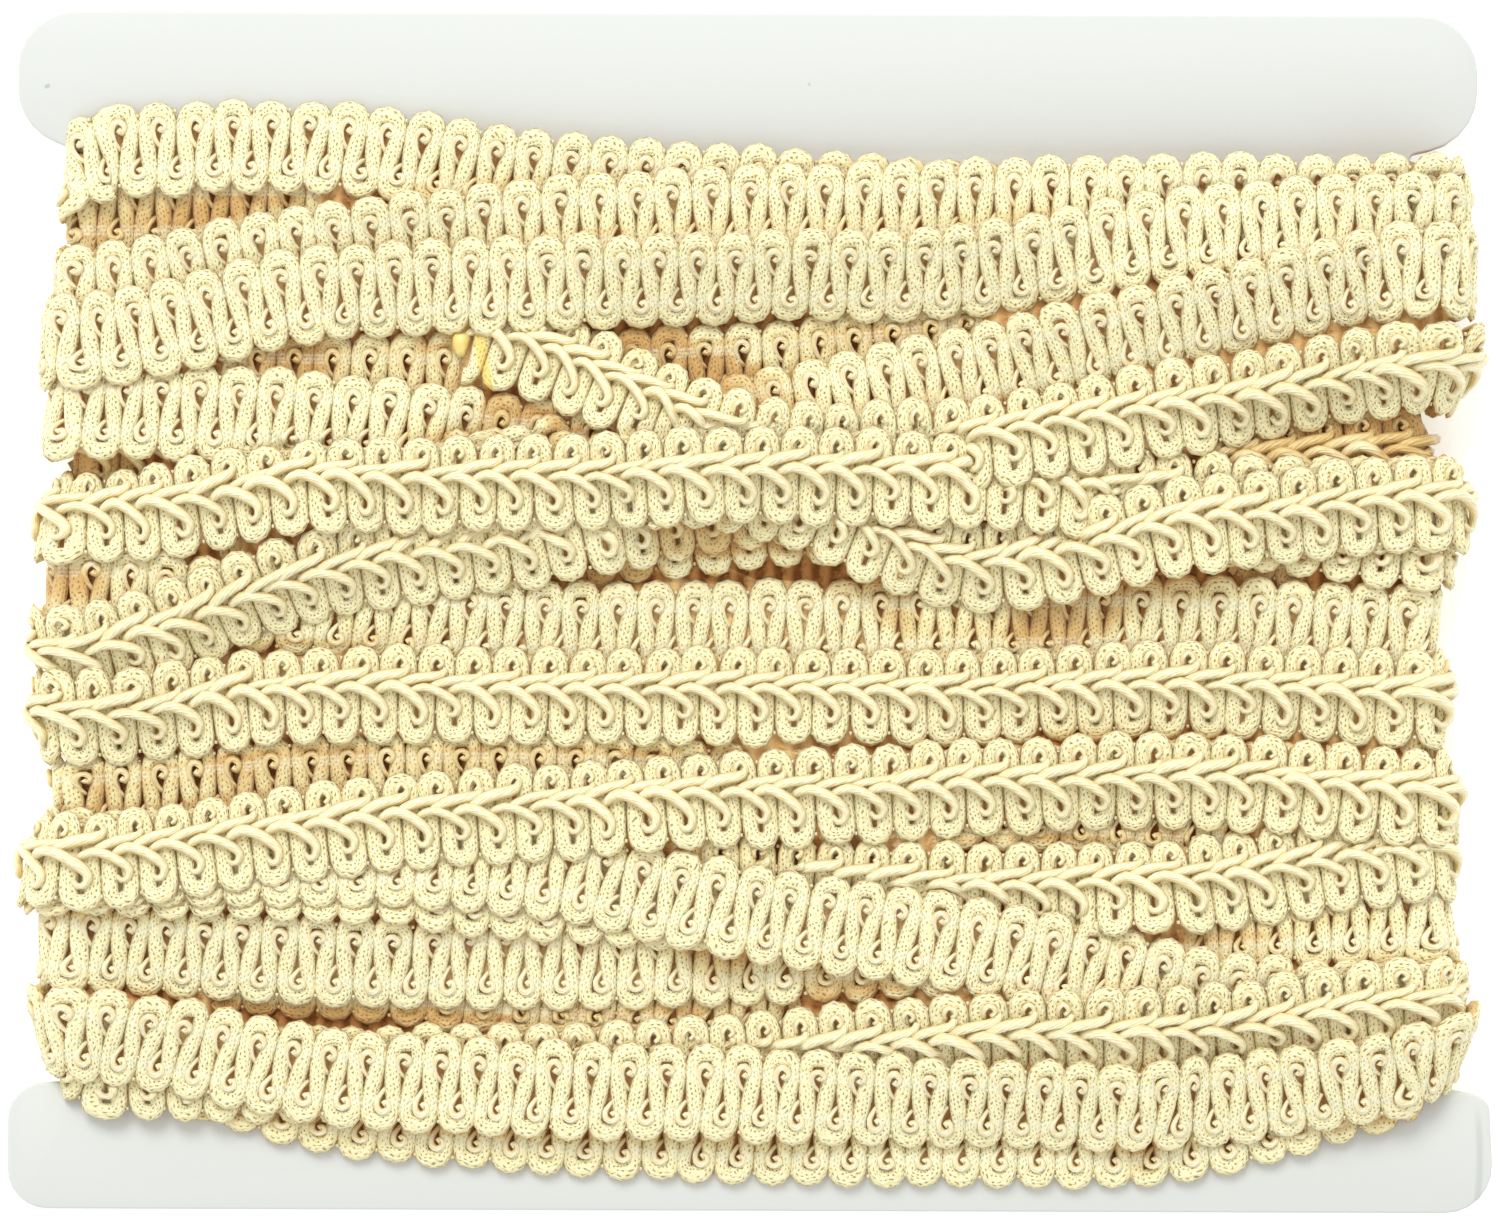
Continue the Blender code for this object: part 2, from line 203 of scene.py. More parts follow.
# Lines of satin cord and curls: along, across and out of the braid and the cord's radius, in
# millimetres from the middle of a lower loop for the spine, or of its own loop for a curl
Knot = namedtuple("Knot", "along across out radius")
SPINE_UPPER = (
    Knot(-4.3, 0.5, 1.5, 0.45), Knot(-3.4, 1.0, 2.2, 0.66), Knot(-2.2, 1.6, 2.7, 0.72),
    Knot(-0.2, 2.2, 2.9, 0.74), Knot(1.7, 2.45, 2.8, 0.72), Knot(3.1, 2.75, 2.5, 0.64),
    Knot(3.6, 3.55, 2.1, 0.46),
)
SPINE_LOWER = (
    Knot(-6.0, 0.1, 1.7, 0.45), Knot(-5.2, 0.6, 2.6, 0.66), Knot(-3.7, 1.1, 3.2, 0.74),
    Knot(-2.0, 0.55, 3.2, 0.76), Knot(-0.1, -0.75, 2.9, 0.75), Knot(0.95, -2.0, 2.5, 0.66),
    Knot(0.70, -3.15, 2.2, 0.54), Knot(-0.20, -3.45, 1.95, 0.46), Knot(-0.80, -2.6, 1.6, 0.36),
)
SPINE_RING = (
    Knot(-0.62, -1.2, 1.60, 0.28), Knot(-0.78, -0.1, 2.02, 0.34), Knot(0.0, 0.78, 2.10, 0.38),
    Knot(0.78, -0.1, 2.05, 0.36), Knot(0.15, -0.75, 1.95, 0.34),
)
GLUED_TIP = (
    Knot(-0.9, -3.2, 0.9, 0.5), Knot(-1.5, -1.6, 1.0, 1.3), Knot(-1.9, 0.4, 0.9, 1.6),
    Knot(-1.6, 2.6, 1.0, 1.3), Knot(-1.0, 4.3, 1.0, 0.6),
)
UPPER_CURL = (
    Knot(0.30, -2.60, 1.10, 0.30), Knot(-0.45, -1.60, 1.45, 0.38), Knot(-0.82, -0.40, 1.75, 0.45),
    Knot(-0.50, 0.62, 1.90, 0.47), Knot(0.28, 0.90, 1.95, 0.47), Knot(0.98, 0.22, 1.90, 0.46),
    Knot(0.60, -0.48, 1.80, 0.44), Knot(0.10, -0.05, 1.80, 0.48),
)
LOWER_CURL = (
    Knot(0.35, 2.10, 1.10, 0.30), Knot(-0.35, 1.30, 1.45, 0.38), Knot(-0.82, 0.35, 1.75, 0.45),
    Knot(-0.66, -0.55, 1.88, 0.48), Knot(0.12, -0.95, 1.92, 0.50), Knot(0.88, -0.38, 1.88, 0.47),
    Knot(0.58, 0.35, 1.78, 0.44), Knot(0.04, -0.02, 1.80, 0.50),
)

# Which lines each loop has: the row of its differences, its place in the loop's pitch, where 1 is
# the middle of a lower loop and a half that of an upper one, and its height across the braid
Line = namedtuple("Line", "knots row offset middle")
SPINE_LINES = (
    Line(SPINE_UPPER, 0, 1.0, 0.0), Line(SPINE_LOWER, 1, 1.0, 0.0), Line(SPINE_RING, 0, 0.5, 4.35 * MM),
)
CURL_LINES = (Line(UPPER_CURL, 0, 0.5, 2.95 * MM), Line(LOWER_CURL, 1, 1.0, -3.1 * MM))

# Stitches between a loop and the next: how far across they lie, how high on each side of the
# braid, how much they stray and a stitch's radius and half length as shares of its size
STITCH_LEVELS = (2.3, 5.0)
STITCH_HEIGHTS = (1.7 * MM, 1.1 * MM)
STITCH_STRAY = (0.10 * MM, 0.12 * MM)
STITCH_RADIUS, STITCH_HALF = 0.8, 0.7
STITCH_GIRTH = 2 * MM

# How many rings the cords have and where round them their points lie, in degrees from one
# side over the top, with the rings and sides of the short strands, on the face and on the back
Detail = namedtuple("Detail", "rings around strand_rings strand_sides")
FINE = Detail(28, (0, 45, 90, 135, 180, 270), 2, 6)
PLAIN = Detail(12, (0, 60, 120, 180, 270), 1, 4)
CURLED = FINE._replace(strand_sides=5)

# Small differences from loop to loop: the seeds of their draws, how far loops and strands stray
# along the braid, the cord's reach and height, a strand's reach and height and the turn's lift
SEED, SATIN_SEED, CURL_SEED, STITCH_SEED = 7, 27, 47, 67
JITTER_ALONG = 0.20 * MM
JITTER_REACH, JITTER_OUT = 0.030, 0.06 * MM
STRAND_REACH, STRAND_OUT = 0.10, 0.05
JITTER_LEVEL = 0.10 * MM

ALL_ROWS, UPPER_ROWS, LOWER_ROWS, LOOSE = (-1.0, 1.0), (0.0, 1.0), (-1.0, 0.0), "loose"


def srgb(red, green, blue):
    """A colour given in display values from 0 to 255, as the linear one that shaders use."""
    values = np.array((red, green, blue)) / 255
    linear = np.where(values <= 0.04045, values / 12.92, ((values + 0.055) / 1.055) ** 2.4)
    return (*linear.tolist(), 1.0)


def colour(name, description, red, green, blue):
    """A colour that the user can change, its default in display values."""
    return bpy.props.FloatVectorProperty(
        name=name, description=description, subtype="COLOR", size=4, min=0, max=1,
        default=srgb(red, green, blue),
    )


def length(name, description, default):
    """A length that the user can change."""
    return bpy.props.FloatProperty(
        name=name, description=description, default=default, unit="LENGTH", min=0, precision=5
    )


def amount(name, description, default, unit="NONE"):
    """Any other amount that the user can change."""
    return bpy.props.FloatProperty(name=name, description=description, default=default, unit=unit, min=0)


class BraidSettings(bpy.types.PropertyGroup):
    """Sizes and colours of the braid."""

    pitch: length("Loop pitch", "Length of braid that one pair of loops takes", 5.14 * MM)
    stitch_size: length("Stitch size", "Half size of the small stitches between loops", 0.31 * MM)
    yarn_colour: colour("Yarn", "Colour of the knitted cord", 250, 246, 206)
    # The grain colour also serves as painted shade on the cord's sides and beside higher edges
    grain_and_shade_colour: colour("Grain", "Colour between the stitches of the cord", 240, 221, 148)
    dash_colour: colour("Dashes", "Colour of the small dashes between the stitches", 150, 132, 74)
    # Painted shade: the warm brown that the yarn and the satin get low down between the turns, beside higher
    # edges and on the cords' undersides
    painted_shade_colour: colour("Deep yarn", "Colour of the yarn low down between the turns", 214, 168, 100)
    curl_colour: colour("Curls", "Colour of the thin curls", 253, 248, 222)
    satin_colour: colour("Satin", "Colour of the satin cord of the spine", 255, 251, 220)
    # Painted shade of the satin cord, the curls and the thread on their undersides and low down in the pile
    painted_satin_shade_colour: colour("Deep satin", "Colour of the satin low down", 226, 186, 106)
    thread_colour: colour("Thread", "Colour of the sewing thread", 244, 240, 208)
    glue_colour: colour("Glue", "Colour of the glue on the cut end", 250, 222, 124)


class CardSettings(bpy.types.PropertyGroup):
    """Finish of the card."""

    rounding: length("Edge rounding", "Width of the card's rounded edge", 0.35 * MM)
    board_colour: colour("Board", "Colour of the card", 215, 218, 213)
    # The speck colour also paints the shade along the crease in the lower right ear
    speck_and_crease_shade_colour: colour("Specks", "Colour of the specks in the board", 172, 176, 172)


class StudioSettings(bpy.types.PropertyGroup):
    """Floor, light and camera."""

    floor_colour: colour("Floor", "Colour of the floor", 253, 253, 253)
    floor_glow: amount("Floor glow", "Light that the floor gives off, which lifts its shadows", 0.30)
    key_power: amount("Key light", "Power of the large soft light", 58.5, "POWER")
    fill_strength: amount("Fill", "Strength of the light from all round", 0.88)
    lens: amount("Lens", "Focal length in millimetres", 130.0)


Side = namedtuple("Side", "y spine height tilt seen surface room")
Route = namedtuple("Route", "length point across normal bed tilt column_x zone seen lift room first")


def smooth(table, place):
    """Values at places between a table's rows, on a smooth curve through the rows."""
    last = len(table) - 1
    index = np.minimum(place.astype(int), last - 1)
    part = (place - index).reshape(-1, *(1,) * (table.ndim - 1))
    before, start = table[np.maximum(index - 1, 0)], table[index]
    end, after = table[index + 1], table[np.minimum(index + 2, last)]
    return (
        start * (1 + 2 * part) * (1 - part) ** 2
        + (end - before) / 2 * part * (1 - part) ** 2
        + end * part**2 * (3 - 2 * part)
        + (after - start) / 2 * part**2 * (part - 1)
    )


def front_heights(turn):
    """Height up the card of a turn's middle line, at every column of the face."""
    place = (COLUMNS - STATIONS[0]) / (STATIONS[1] - STATIONS[0])
    return smooth(np.array(turn[3:]) * MM, np.clip(place, 0, len(STATIONS) - 1.0001))


def eased(values):
    """Values along a line, eased over their neighbours."""
    window = np.hanning(2 * EASE_REACH + 3)[1:-1]
    padded = np.pad(values, EASE_REACH, mode="edge")
    return np.convolve(padded, window / window.sum(), mode="valid")


def pile_order(rank, start_x, column):
    """The strips of a column, lowest first."""
    order = np.argsort(rank[:, column], kind="stable")
    return [strip for strip in order if COLUMNS[column] >= start_x[strip]]


def rooms(y, rank, seat, tilt, start_x, press):
    """How far the next turn above lies over each strip's own bed, across the strip."""
    room = np.full((*y.shape, len(OFFSETS)), OPEN_ROOM)
    for column in range(len(COLUMNS)):
        owner = np.full(len(SAMPLES), -1)
        over = np.full((len(y) + 1, len(SAMPLES)), 1.0)
        order = pile_order(rank, start_x, column)
        for strip in order:
            inside = np.flatnonzero(np.abs(SAMPLES - y[strip, column]) <= BRAID_WIDTH / 2)
            bed = press(seat[strip, column]) + tilt[strip, column] * (SAMPLES[inside] - y[strip, column])
            below = owner[inside]
            over[below, inside] = np.minimum(over[below, inside], bed)
            owner[inside] = strip
        for strip in order:
            above = np.interp(y[strip, column] + OFFSETS, SAMPLES, over[strip])
            own = press(seat[strip, column]) + tilt[strip, column] * OFFSETS
            room[strip, column] = np.clip(above - own, LEAST_ROOM, OPEN_ROOM)
    return room


def lay_side(y, rank, spine, start_x, press):
    """Lay each strip of one side on those below it, column by column."""
    seat, tilt = np.zeros(y.shape), np.zeros(y.shape)
    seen = np.zeros(y.shape, bool)
    surface = np.zeros((len(COLUMNS), len(SAMPLES)))
    half = BRAID_WIDTH / 2
    for column in range(len(COLUMNS)):
        bed = np.zeros(len(SAMPLES))
        order = pile_order(rank, start_x, column)
        for strip in order:
            inside = np.abs(SAMPLES - y[strip, column]) <= half
            offset = SAMPLES[inside] - y[strip, column]
            seats = np.max(bed[inside][None, :] - TILTS[:, None] * offset[None, :], axis=1)
            best = np.argmin(seats + TILT_COST * np.abs(TILTS))
            seat[strip, column], tilt[strip, column] = seats[best], TILTS[best]
            lowest = seats[best] + TILTS[best] * offset
            bed[inside] = lowest + PRESSED_THICKNESS
            surface[column, inside] = lowest + BRAID_THICKNESS
        covered = np.zeros(len(SAMPLES), bool)
        for strip in reversed(order):
            reach = np.abs(SAMPLES - y[strip, column])
            seen[strip, column] = np.any(~covered[reach <= half])
            covered |= reach <= half - SCALLOP
    for strip, start in enumerate(start_x):
        first = np.argmax(COLUMNS >= start)
        seat[strip, :first], tilt[strip, :first] = seat[strip, first], tilt[strip, first]
        seat[strip], tilt[strip] = eased(seat[strip]), eased(tilt[strip])
    room = rooms(y, rank, seat, tilt, start_x, press)
    return Side(y, spine, press(seat), tilt, seen, press(surface), room)


def lay_face():
    """The turns across the face."""
    turns = SCROLL_OUT + SPINE_OUT
    y = np.array([front_heights(turn) for turn in turns])
    part = (COLUMNS + WAIST_HALF) / (2 * WAIST_HALF)
    rank = np.array([turn.rank_left + (turn.rank_right - turn.rank_left) * part for turn in turns])
    spine = [False] * len(SCROLL_OUT) + [True] * len(SPINE_OUT)
    start = [LOOSE_TIP if turn.name == "loose_run" else -WAIST_HALF for turn in turns]
    return lay_side(y, rank, spine, start, pressed)


def lay_back():
    """The runs across the back, and the tucks where a length of turns begins or ends."""
    runs = [
        Run(spine, turn.right, following.left, turn.rank_right, following.rank_left)
        for turns, spine in ((SCROLL_OUT, False), (SPINE_OUT, True))
        for turn, following in zip(turns, turns[1:])
    ]
    for spine, right, left in (
        (False, START_TUCK, SCROLL_OUT[0].left), (False, SCROLL_OUT[-1].right, END_TUCK),
        (True, SPINE_OUT[-1].right, SPINE_TUCK),
    ):
        runs.append(Run(spine, right, left, TUCK_RANK, TUCK_RANK))
    part = (WAIST_HALF - COLUMNS) / (2 * WAIST_HALF)
    y = np.array([run.right + (run.left - run.right) * part for run in runs]) * MM
    rank = np.array([run.rank_right + (run.rank_left - run.rank_right) * part for run in runs])
    return lay_side(y, rank, [run.spine for run in runs], [-WAIST_HALF] * len(runs), back_pressed)


def pressed(height):
    """A height over the board after the winding has pressed the pile together."""
    return height * (1 - height / PRESS_DEPTH)


def back_pressed(height):
    """The same on the back, where the pile is flattened by the surface that it lies on."""
    room = BACK_DEPTH - BRAID_THICKNESS
    height = pressed(height)
    return np.where(height > room, room + (height - room) * PRESS_SHARE, height)


def make_route(legs, first):
    """One smooth route through its legs, with the braid's own frame, its loops starting at first."""
    rows = np.concatenate([leg.T for leg in legs])
    x, y, normal_x, normal_z, bed, tilt, zone, seen = rows.T[:8]
    out = CARD_THICKNESS / 2 + bed
    point = np.stack((x + normal_x * out, y, CARD_LEVEL + normal_z * out), 1)
    step = np.linalg.norm(np.diff(point, axis=0), axis=1)
    keep = np.concatenate(([True], step > 1e-7))
    length = np.concatenate(([0], np.cumsum(step)))[keep]
    across = np.stack((normal_x * tilt, np.ones(len(x)), normal_z * tilt), 1)
    columns = np.column_stack((point, across, bed, tilt, x, zone, seen, rows[:, 8:]))[keep]
    even = np.arange(0, length[-1], ROUTE_STEP)
    columns = np.stack([np.interp(even, length, column) for column in columns.T], 1)
    for index in range(8):
        columns[:, index] = eased(columns[:, index])
    point, across = columns[:, :3], columns[:, 3:6]
    along = np.gradient(point, axis=0)
    along /= np.linalg.norm(along, axis=1)[:, None]
    lean = np.clip(np.sum(across * along, axis=1), -MOST_LEAN, MOST_LEAN)
    across = across - along * lean[:, None]
    across /= np.linalg.norm(across, axis=1)[:, None]
    normal = np.cross(along, across)
    normal /= np.linalg.norm(normal, axis=1)[:, None]
    lift = np.random.default_rng(SEED).normal(0, JITTER_LEVEL, len(even) // LIFT_STEPS + 3)
    lift = np.interp(np.arange(len(even)) / LIFT_STEPS, np.arange(len(lift)), lift)
    bed, tilt, column_x, zone, seen = columns[:, 6:11].T
    return Route(
        even, point, across, normal, bed, tilt, column_x, np.rint(zone), seen > LEAST_SEEN, lift,
        columns[:, 11:], first,
    )


def side_leg(side, strip, limit, columns, normal_z, zone):
    """A strip's way across one side, over the given columns and kept within a limit up and down."""
    count = len(COLUMNS[columns])
    y = np.clip(side.y[strip], -limit, limit)[columns]
    return np.stack((
        COLUMNS[columns], y, np.zeros(count), np.full(count, normal_z), side.height[strip, columns],
        side.tilt[strip, columns], np.full(count, zone), side.seen[strip, columns],
        *side.room[strip, columns].T,
    ))


def face_leg(face, strip, first=0):
    """A turn's way across the face, drawn in under the ears where it meets the waist's edge."""
    limit = FACE_ROOM + (WAIST_HALF - np.abs(COLUMNS)) * EAR_SLOPE
    return side_leg(face, strip, limit, slice(first, None), 1.0, FACE)


def back_leg(back, strip):
    """A run's way across the back, from right to left."""
    return side_leg(back, strip, EAR_ROOM, slice(None, None, -1), -1.0, BACK)


def edge_leg(before, after, side):
    """A turn's way round the card's edge, side 1 at the right and -1 at the left."""
    count = len(EDGE_ANGLES)
    part = EDGE_ANGLES / math.pi
    angle = EDGE_ANGLES if side > 0 else EDGE_ANGLES + math.pi
    start, end = before[:, -1], after[:, 0]
    mixed = start[:, None] + (end - start)[:, None] * part
    return np.stack((
        np.full(count, side * WAIST_HALF), mixed[1], np.sin(angle), np.cos(angle),
        mixed[4], mixed[5], np.full(count, EDGE), np.ones(count), *mixed[8:],
    ))


def join_legs(legs):
    """Legs in order, with the card's edge between each and the next."""
    joined = [legs[0]]
    for before, after in zip(legs, legs[1:]):
        joined.append(edge_leg(before, after, 1 if before[0, -1] > 0 else -1))
        joined.append(after)
    return joined


def wind_braid():
    """The routes of the braid: the scroll side out, the spine side out."""
    face, back = lay_face(), lay_back()
    scroll_count = len(SCROLL_OUT)
    first_tuck = len(back.spine) - 3
    scroll = [back_leg(back, first_tuck)]
    for turn in range(scroll_count):
        run = turn if turn < scroll_count - 1 else first_tuck + 1
        scroll += [face_leg(face, turn), back_leg(back, run)]
    loose_first = int(np.argmax(COLUMNS >= LOOSE_TIP))
    spine = []
    for turn in range(len(SPINE_OUT)):
        last = turn == len(SPINE_OUT) - 1
        run = first_tuck + 2 if last else scroll_count - 1 + turn
        leg = face_leg(face, scroll_count + turn, loose_first if turn == 0 else 0)
        spine += [leg, back_leg(back, run)]
    routes = (make_route(join_legs(scroll), 0.0), make_route(join_legs(spine), GLUED_LENGTH))
    return routes, face, back


def highest_beside(surface, side, reach, slope):
    """The pile's surface with each edge widened to one side, sloping down away from it."""
    wide = surface
    for step in range(1, reach + 1):
        wide = np.maximum(wide, np.roll(surface, side * step, axis=1) - slope * step * SAMPLE_PITCH)
    return wide


def shading_surface(surface):
    """The pile's surface, raised where the yarn is in the shade of a higher edge or between two, which sets
    the painted shade.
    """
    beside = [highest_beside(surface, side, SHADE_REACH, SHADE_SLOPE) for side in (-1, 1)]
    walls = [highest_beside(surface, side, TRENCH_REACH, TRENCH_SLOPE) for side in (-1, 1)]
    trench = np.minimum(*walls) - surface
    return surface * (1 - SHADE_SHARE) + np.maximum(*beside) * SHADE_SHARE + trench * TRENCH_GAIN


def grid_value(surface, column, sample):
    """The value of a grid at a place between its columns and samples."""
    column = np.clip(column, 0, surface.shape[0] - 1.001)
    sample = np.clip(sample, 0, surface.shape[1] - 1.001)
    left, low = column.astype(int), sample.astype(int)
    part_x, part_y = column - left, sample - low
    near = surface[left, low] * (1 - part_y) + surface[left, low + 1] * part_y
    far = surface[left + 1, low] * (1 - part_y) + surface[left + 1, low + 1] * part_y
    return near * (1 - part_x) + far * part_x


class Winding:
    """The wound braid: its routes, and a way to put points of the braid on them."""

    def __init__(self):
        self.routes, self.face, self.back = wind_braid()
        self.face_shade = shading_surface(self.face.surface)
        self.back_shade = shading_surface(self.back.surface)

    def place(self, route, along, across, out, sinks=False):
        """Points of the braid in space, kept under the turn above, and how deep each lies in the pile."""
        along = along + route.first

        def read(values):
            return np.interp(along, route.length, values)

        def read_vector(values):
            return np.stack([read(column) for column in values.T], -1)

        point = read_vector(route.point)
        side = read_vector(route.across)
        normal = read_vector(route.normal)
        lift = read(route.lift)
        room = grid_value(route.room, along / ROUTE_STEP, (across - OFFSETS[0]) / SAMPLE_PITCH)
        room -= ROOM_GAP
        if sinks:
            out = out - np.maximum(np.max(out - room, axis=-1, keepdims=True), 0)
        out = np.minimum(out, room)
        place = point + side * across[..., None] + normal * (out + lift)[..., None]
        x = read(route.column_x)
        on_back = read(route.zone) > (EDGE + BACK) / 2
        column = (x + WAIST_HALF) / (COLUMNS[1] - COLUMNS[0])
        sample = (place[..., 1] - SAMPLES[0]) / SAMPLE_PITCH
        surface = np.where(
            on_back, grid_value(self.back_shade, column, sample), grid_value(self.face_shade, column, sample)
        )
        depth = surface - (read(route.bed) + read(route.tilt) * across + out)
        return rest_on_surface(place), depth

    def stretches(self, route, pitch, zones):
        """Runs of whole loops that show, on the given zones: first loop and how many."""
        length = route.length - route.first
        count = int((length[-1] - pitch) / pitch)
        wanted = []
        for index in range(count):
            near = (length > (index - 0.6) * pitch) & (length < (index + 1.6) * pitch)
            middle = np.searchsorted(length, (index + 0.5) * pitch)
            wanted.append(bool(route.seen[near].any()) and route.zone[middle] in zones)
        runs = []
        for index, yes in enumerate(wanted):
            if yes and index and wanted[index - 1]:
                runs[-1][1] += 1
            elif yes:
                runs.append([index, 1])
        return runs


def rest_on_surface(place):
    """The same points, with what would sink below the surface pressed flat on it."""
    place = place.copy()
    level = place[..., 2] / FLOOR_SOFTNESS
    bent = np.log1p(np.exp(np.minimum(level, 20)))
    place[..., 2] = FLOOR_SOFTNESS * np.where(level > 20, level, bent)
    return place


class MeshParts:
    """Collects tubes into one mesh, with a map along and round each and what its painted shade and haze
    need.
    """

    def __init__(self):
        self.points, self.loops, self.sizes, self.maps = [], [], [], []
        self.values = {"depth": [], "crown": [], "reach": []}
        self.count = 0

    def add(self, rings, lengths, perimeter, depth, crown=None, reach=None):
        """Add tubes given as tubes by rings by sides by three coordinates."""
        tubes, ring_count, sides = rings.shape[:3]
        ring, side = np.meshgrid(np.arange(ring_count - 1), np.arange(sides), indexing="ij")
        following = (side + 1) % sides
        quads = np.stack((
            ring * sides + side, ring * sides + following,
            (ring + 1) * sides + following, (ring + 1) * sides + side,
        ), -1).reshape(-1, 4)
        first_cap = np.arange(sides)[::-1]
        last_cap = (ring_count - 1) * sides + np.arange(sides)
        loops = np.concatenate((quads.ravel(), first_cap, last_cap))
        sizes = np.concatenate((np.full(len(quads), 4), (sides, sides)))
        each = ring_count * sides
        starts = self.count + np.arange(tubes)[:, None] * each
        self.points.append(rings.reshape(-1, 3))
        self.loops.append((loops[None, :] + starts).ravel())
        self.sizes.append(np.tile(sizes, tubes))
        if crown is None:
            crown = np.sin(2 * math.pi * np.arange(sides) / sides)
        self.values["depth"].append(depth.reshape(-1) / MM)
        self.values["crown"].append(np.tile(crown, tubes * ring_count))
        self.values["reach"].append(np.zeros(tubes * each) if reach is None else reach.reshape(-1) / MM)
        lengths = np.broadcast_to(lengths, (tubes, ring_count))
        near, far = lengths[:, ring], lengths[:, ring + 1]
        along = np.stack((near, near, far, far), -1)
        around = np.stack((side, side + 1, side + 1, side), -1) / sides * perimeter
        body = np.stack((along, np.broadcast_to(around, along.shape)), -1).reshape(tubes, -1, 2)
        ends = np.zeros((tubes, 2 * sides, 2))
        ends[:, :sides, 0] = lengths[:, :1]
        ends[:, sides:, 0] = lengths[:, -1:]
        self.maps.append(np.concatenate((body, ends), 1).reshape(-1, 2))
        self.count += tubes * each

    def build(self, name, material, replaced):
        """Make the piece, let it ride and hide the node that it stands for."""
        loops, sizes = np.concatenate(self.loops), np.concatenate(self.sizes)
        mesh = bpy.data.meshes.new(name)
        mesh.vertices.add(self.count)
        mesh.vertices.foreach_set("co", np.concatenate(self.points).astype(np.float32).ravel())
        mesh.loops.add(len(loops))
        mesh.loops.foreach_set("vertex_index", loops.astype(np.int32))
        mesh.polygons.add(len(sizes))
        starts = np.concatenate(([0], np.cumsum(sizes)[:-1]))
        mesh.polygons.foreach_set("loop_start", starts.astype(np.int32))
        mesh.update(calc_edges=True)
        mesh.validate()
        mesh.shade_smooth()
        cord_map = mesh.uv_layers.new(name="cord")
        cord_map.data.foreach_set("uv", (np.concatenate(self.maps) / MM).astype(np.float32).ravel())
        for key, values in self.values.items():
            attribute = mesh.attributes.new(key, "FLOAT", "POINT")
            attribute.data.foreach_set("value", np.concatenate(values).astype(np.float32))
        mesh.materials.append(material)
        piece = bpy.data.objects.new(name, mesh)
        bpy.context.scene.collection.objects.link(piece)
        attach(piece, "root")
        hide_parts(replaced)
        return piece


def sideways(line):
    """Unit directions to the side of a line of points in the braid's plane."""
    along = np.gradient(line, axis=-2)
    side = np.stack((-along[..., 1], along[..., 0]), -1)
    return side / np.maximum(np.linalg.norm(side, axis=-1), 1e-9)[..., None]


def way_along(line):
    """How far along a line each of its points lies."""
    return np.concatenate(([0], np.cumsum(np.linalg.norm(np.diff(line, axis=0), axis=1))))


def meander(turn, radius, reach):
    """Straight legs joined by half rounds: how far along, how far up as a share, and 1 where it climbs."""
    leg = np.floor(turn * 2 + 1e-9)
    part = turn * 2 - leg
    part = part - RING_CROWDING * np.sin(2 * math.pi * part) / (2 * math.pi)
    straight, quarter = 2 * (reach - radius), math.pi * radius / 2
    way = part * (straight + 2 * quarter)
    start = np.clip(way, 0, quarter) / radius
    end = np.clip(straight + 2 * quarter - way, 0, quarter) / radius
    along = radius * (np.sin(start) + 1 - np.sin(end))
    up = -reach + radius * (1 - np.cos(start)) + np.clip(way - quarter, 0, straight)
    up += radius * np.cos(end)
    climb = np.where(leg % 2 == 0, 1.0, -1.0)
    return leg * 2 * radius + along, climb * up / reach, climb


def loop_run(first, count, loops, pitch, detail, noise):
    """Rings of the knitted cord through a run of loops, in the braid's own frame."""
    steps = count * detail.rings + 1
    turn = np.arange(steps) / detail.rings
    middle, rise, climb = meander(turn, pitch / 4, loops.reach)
    flat = np.sqrt(np.maximum(1 - rise**2, 0))
    upper = np.minimum(turn.astype(int), count - 1)
    lower = np.rint(turn).astype(int)
    upper_noise, lower_noise = noise[0, first + upper], noise[1, first + lower]
    own = np.where((rise > 0)[:, None], upper_noise, lower_noise)
    strength = np.abs(rise)
    reach = loops.reach * (1 + own[:, 0] * JITTER_REACH * strength)
    along = first * pitch + middle - loops.bulge * 2 * rise * flat * climb
    along += own[:, 1] * JITTER_ALONG * rise**2 + loops.lean * rise
    across = rise * reach
    out = loops.level + END_RISE * (1 - 2 * rise**2) + own[:, 2] * JITTER_OUT * strength
    line = np.stack((along, across), -1)
    side = sideways(line)
    around = np.radians(detail.around)
    width = (
        loops.side_width
        + (loops.end_width - loops.side_width) * rise**6
        + (loops.middle_width - loops.side_width) * flat**6
    )
    width = width * (1 + KNIT_BUMPS * np.cos(math.pi * np.arange(steps)) * rise**4)
    wide = width[:, None] * np.cos(around)
    high = loops.half_height * np.sin(around)
    rings = np.stack((
        along[:, None] + side[:, :1] * wide,
        across[:, None] + side[:, 1:] * wide,
        out[:, None] + high[None, :],
    ), -1)
    return rings, way_along(line)


def strand_rings(knots, detail):
    """Rings of a short strand through its knots, in the braid's own frame, with its lengths."""
    table = np.array(knots) * MM
    steps = (len(table) - 1) * detail.strand_rings + 1
    line = smooth(table, np.linspace(0, len(table) - 1, steps))
    centre, radius = line[:, :3], line[:, 3]
    forward = np.gradient(centre, axis=0)
    forward /= np.linalg.norm(forward, axis=1)[:, None]
    side = np.cross((0, 0, 1), forward)
    side /= np.maximum(np.linalg.norm(side, axis=1), 1e-6)[:, None]
    up = np.cross(forward, side)
    around = 2 * math.pi * np.arange(detail.strand_sides) / detail.strand_sides
    rings = (
        centre[:, None, :]
        + side[:, None, :] * (radius[:, None] * np.cos(around))[..., None]
        + up[:, None, :] * (radius[:, None] * np.sin(around))[..., None]
    )
    return rings, way_along(centre)


def stitch_rings(size):
    """A small stitch, as two rings of four points."""
    around = 2 * math.pi * np.arange(4) / 4
    return np.stack([
        np.stack((
            STITCH_RADIUS * np.cos(around) * size, np.full(4, place * size),
            STITCH_RADIUS * np.sin(around) * size,
        ), -1)
        for place in (-STITCH_HALF, STITCH_HALF)
    ])


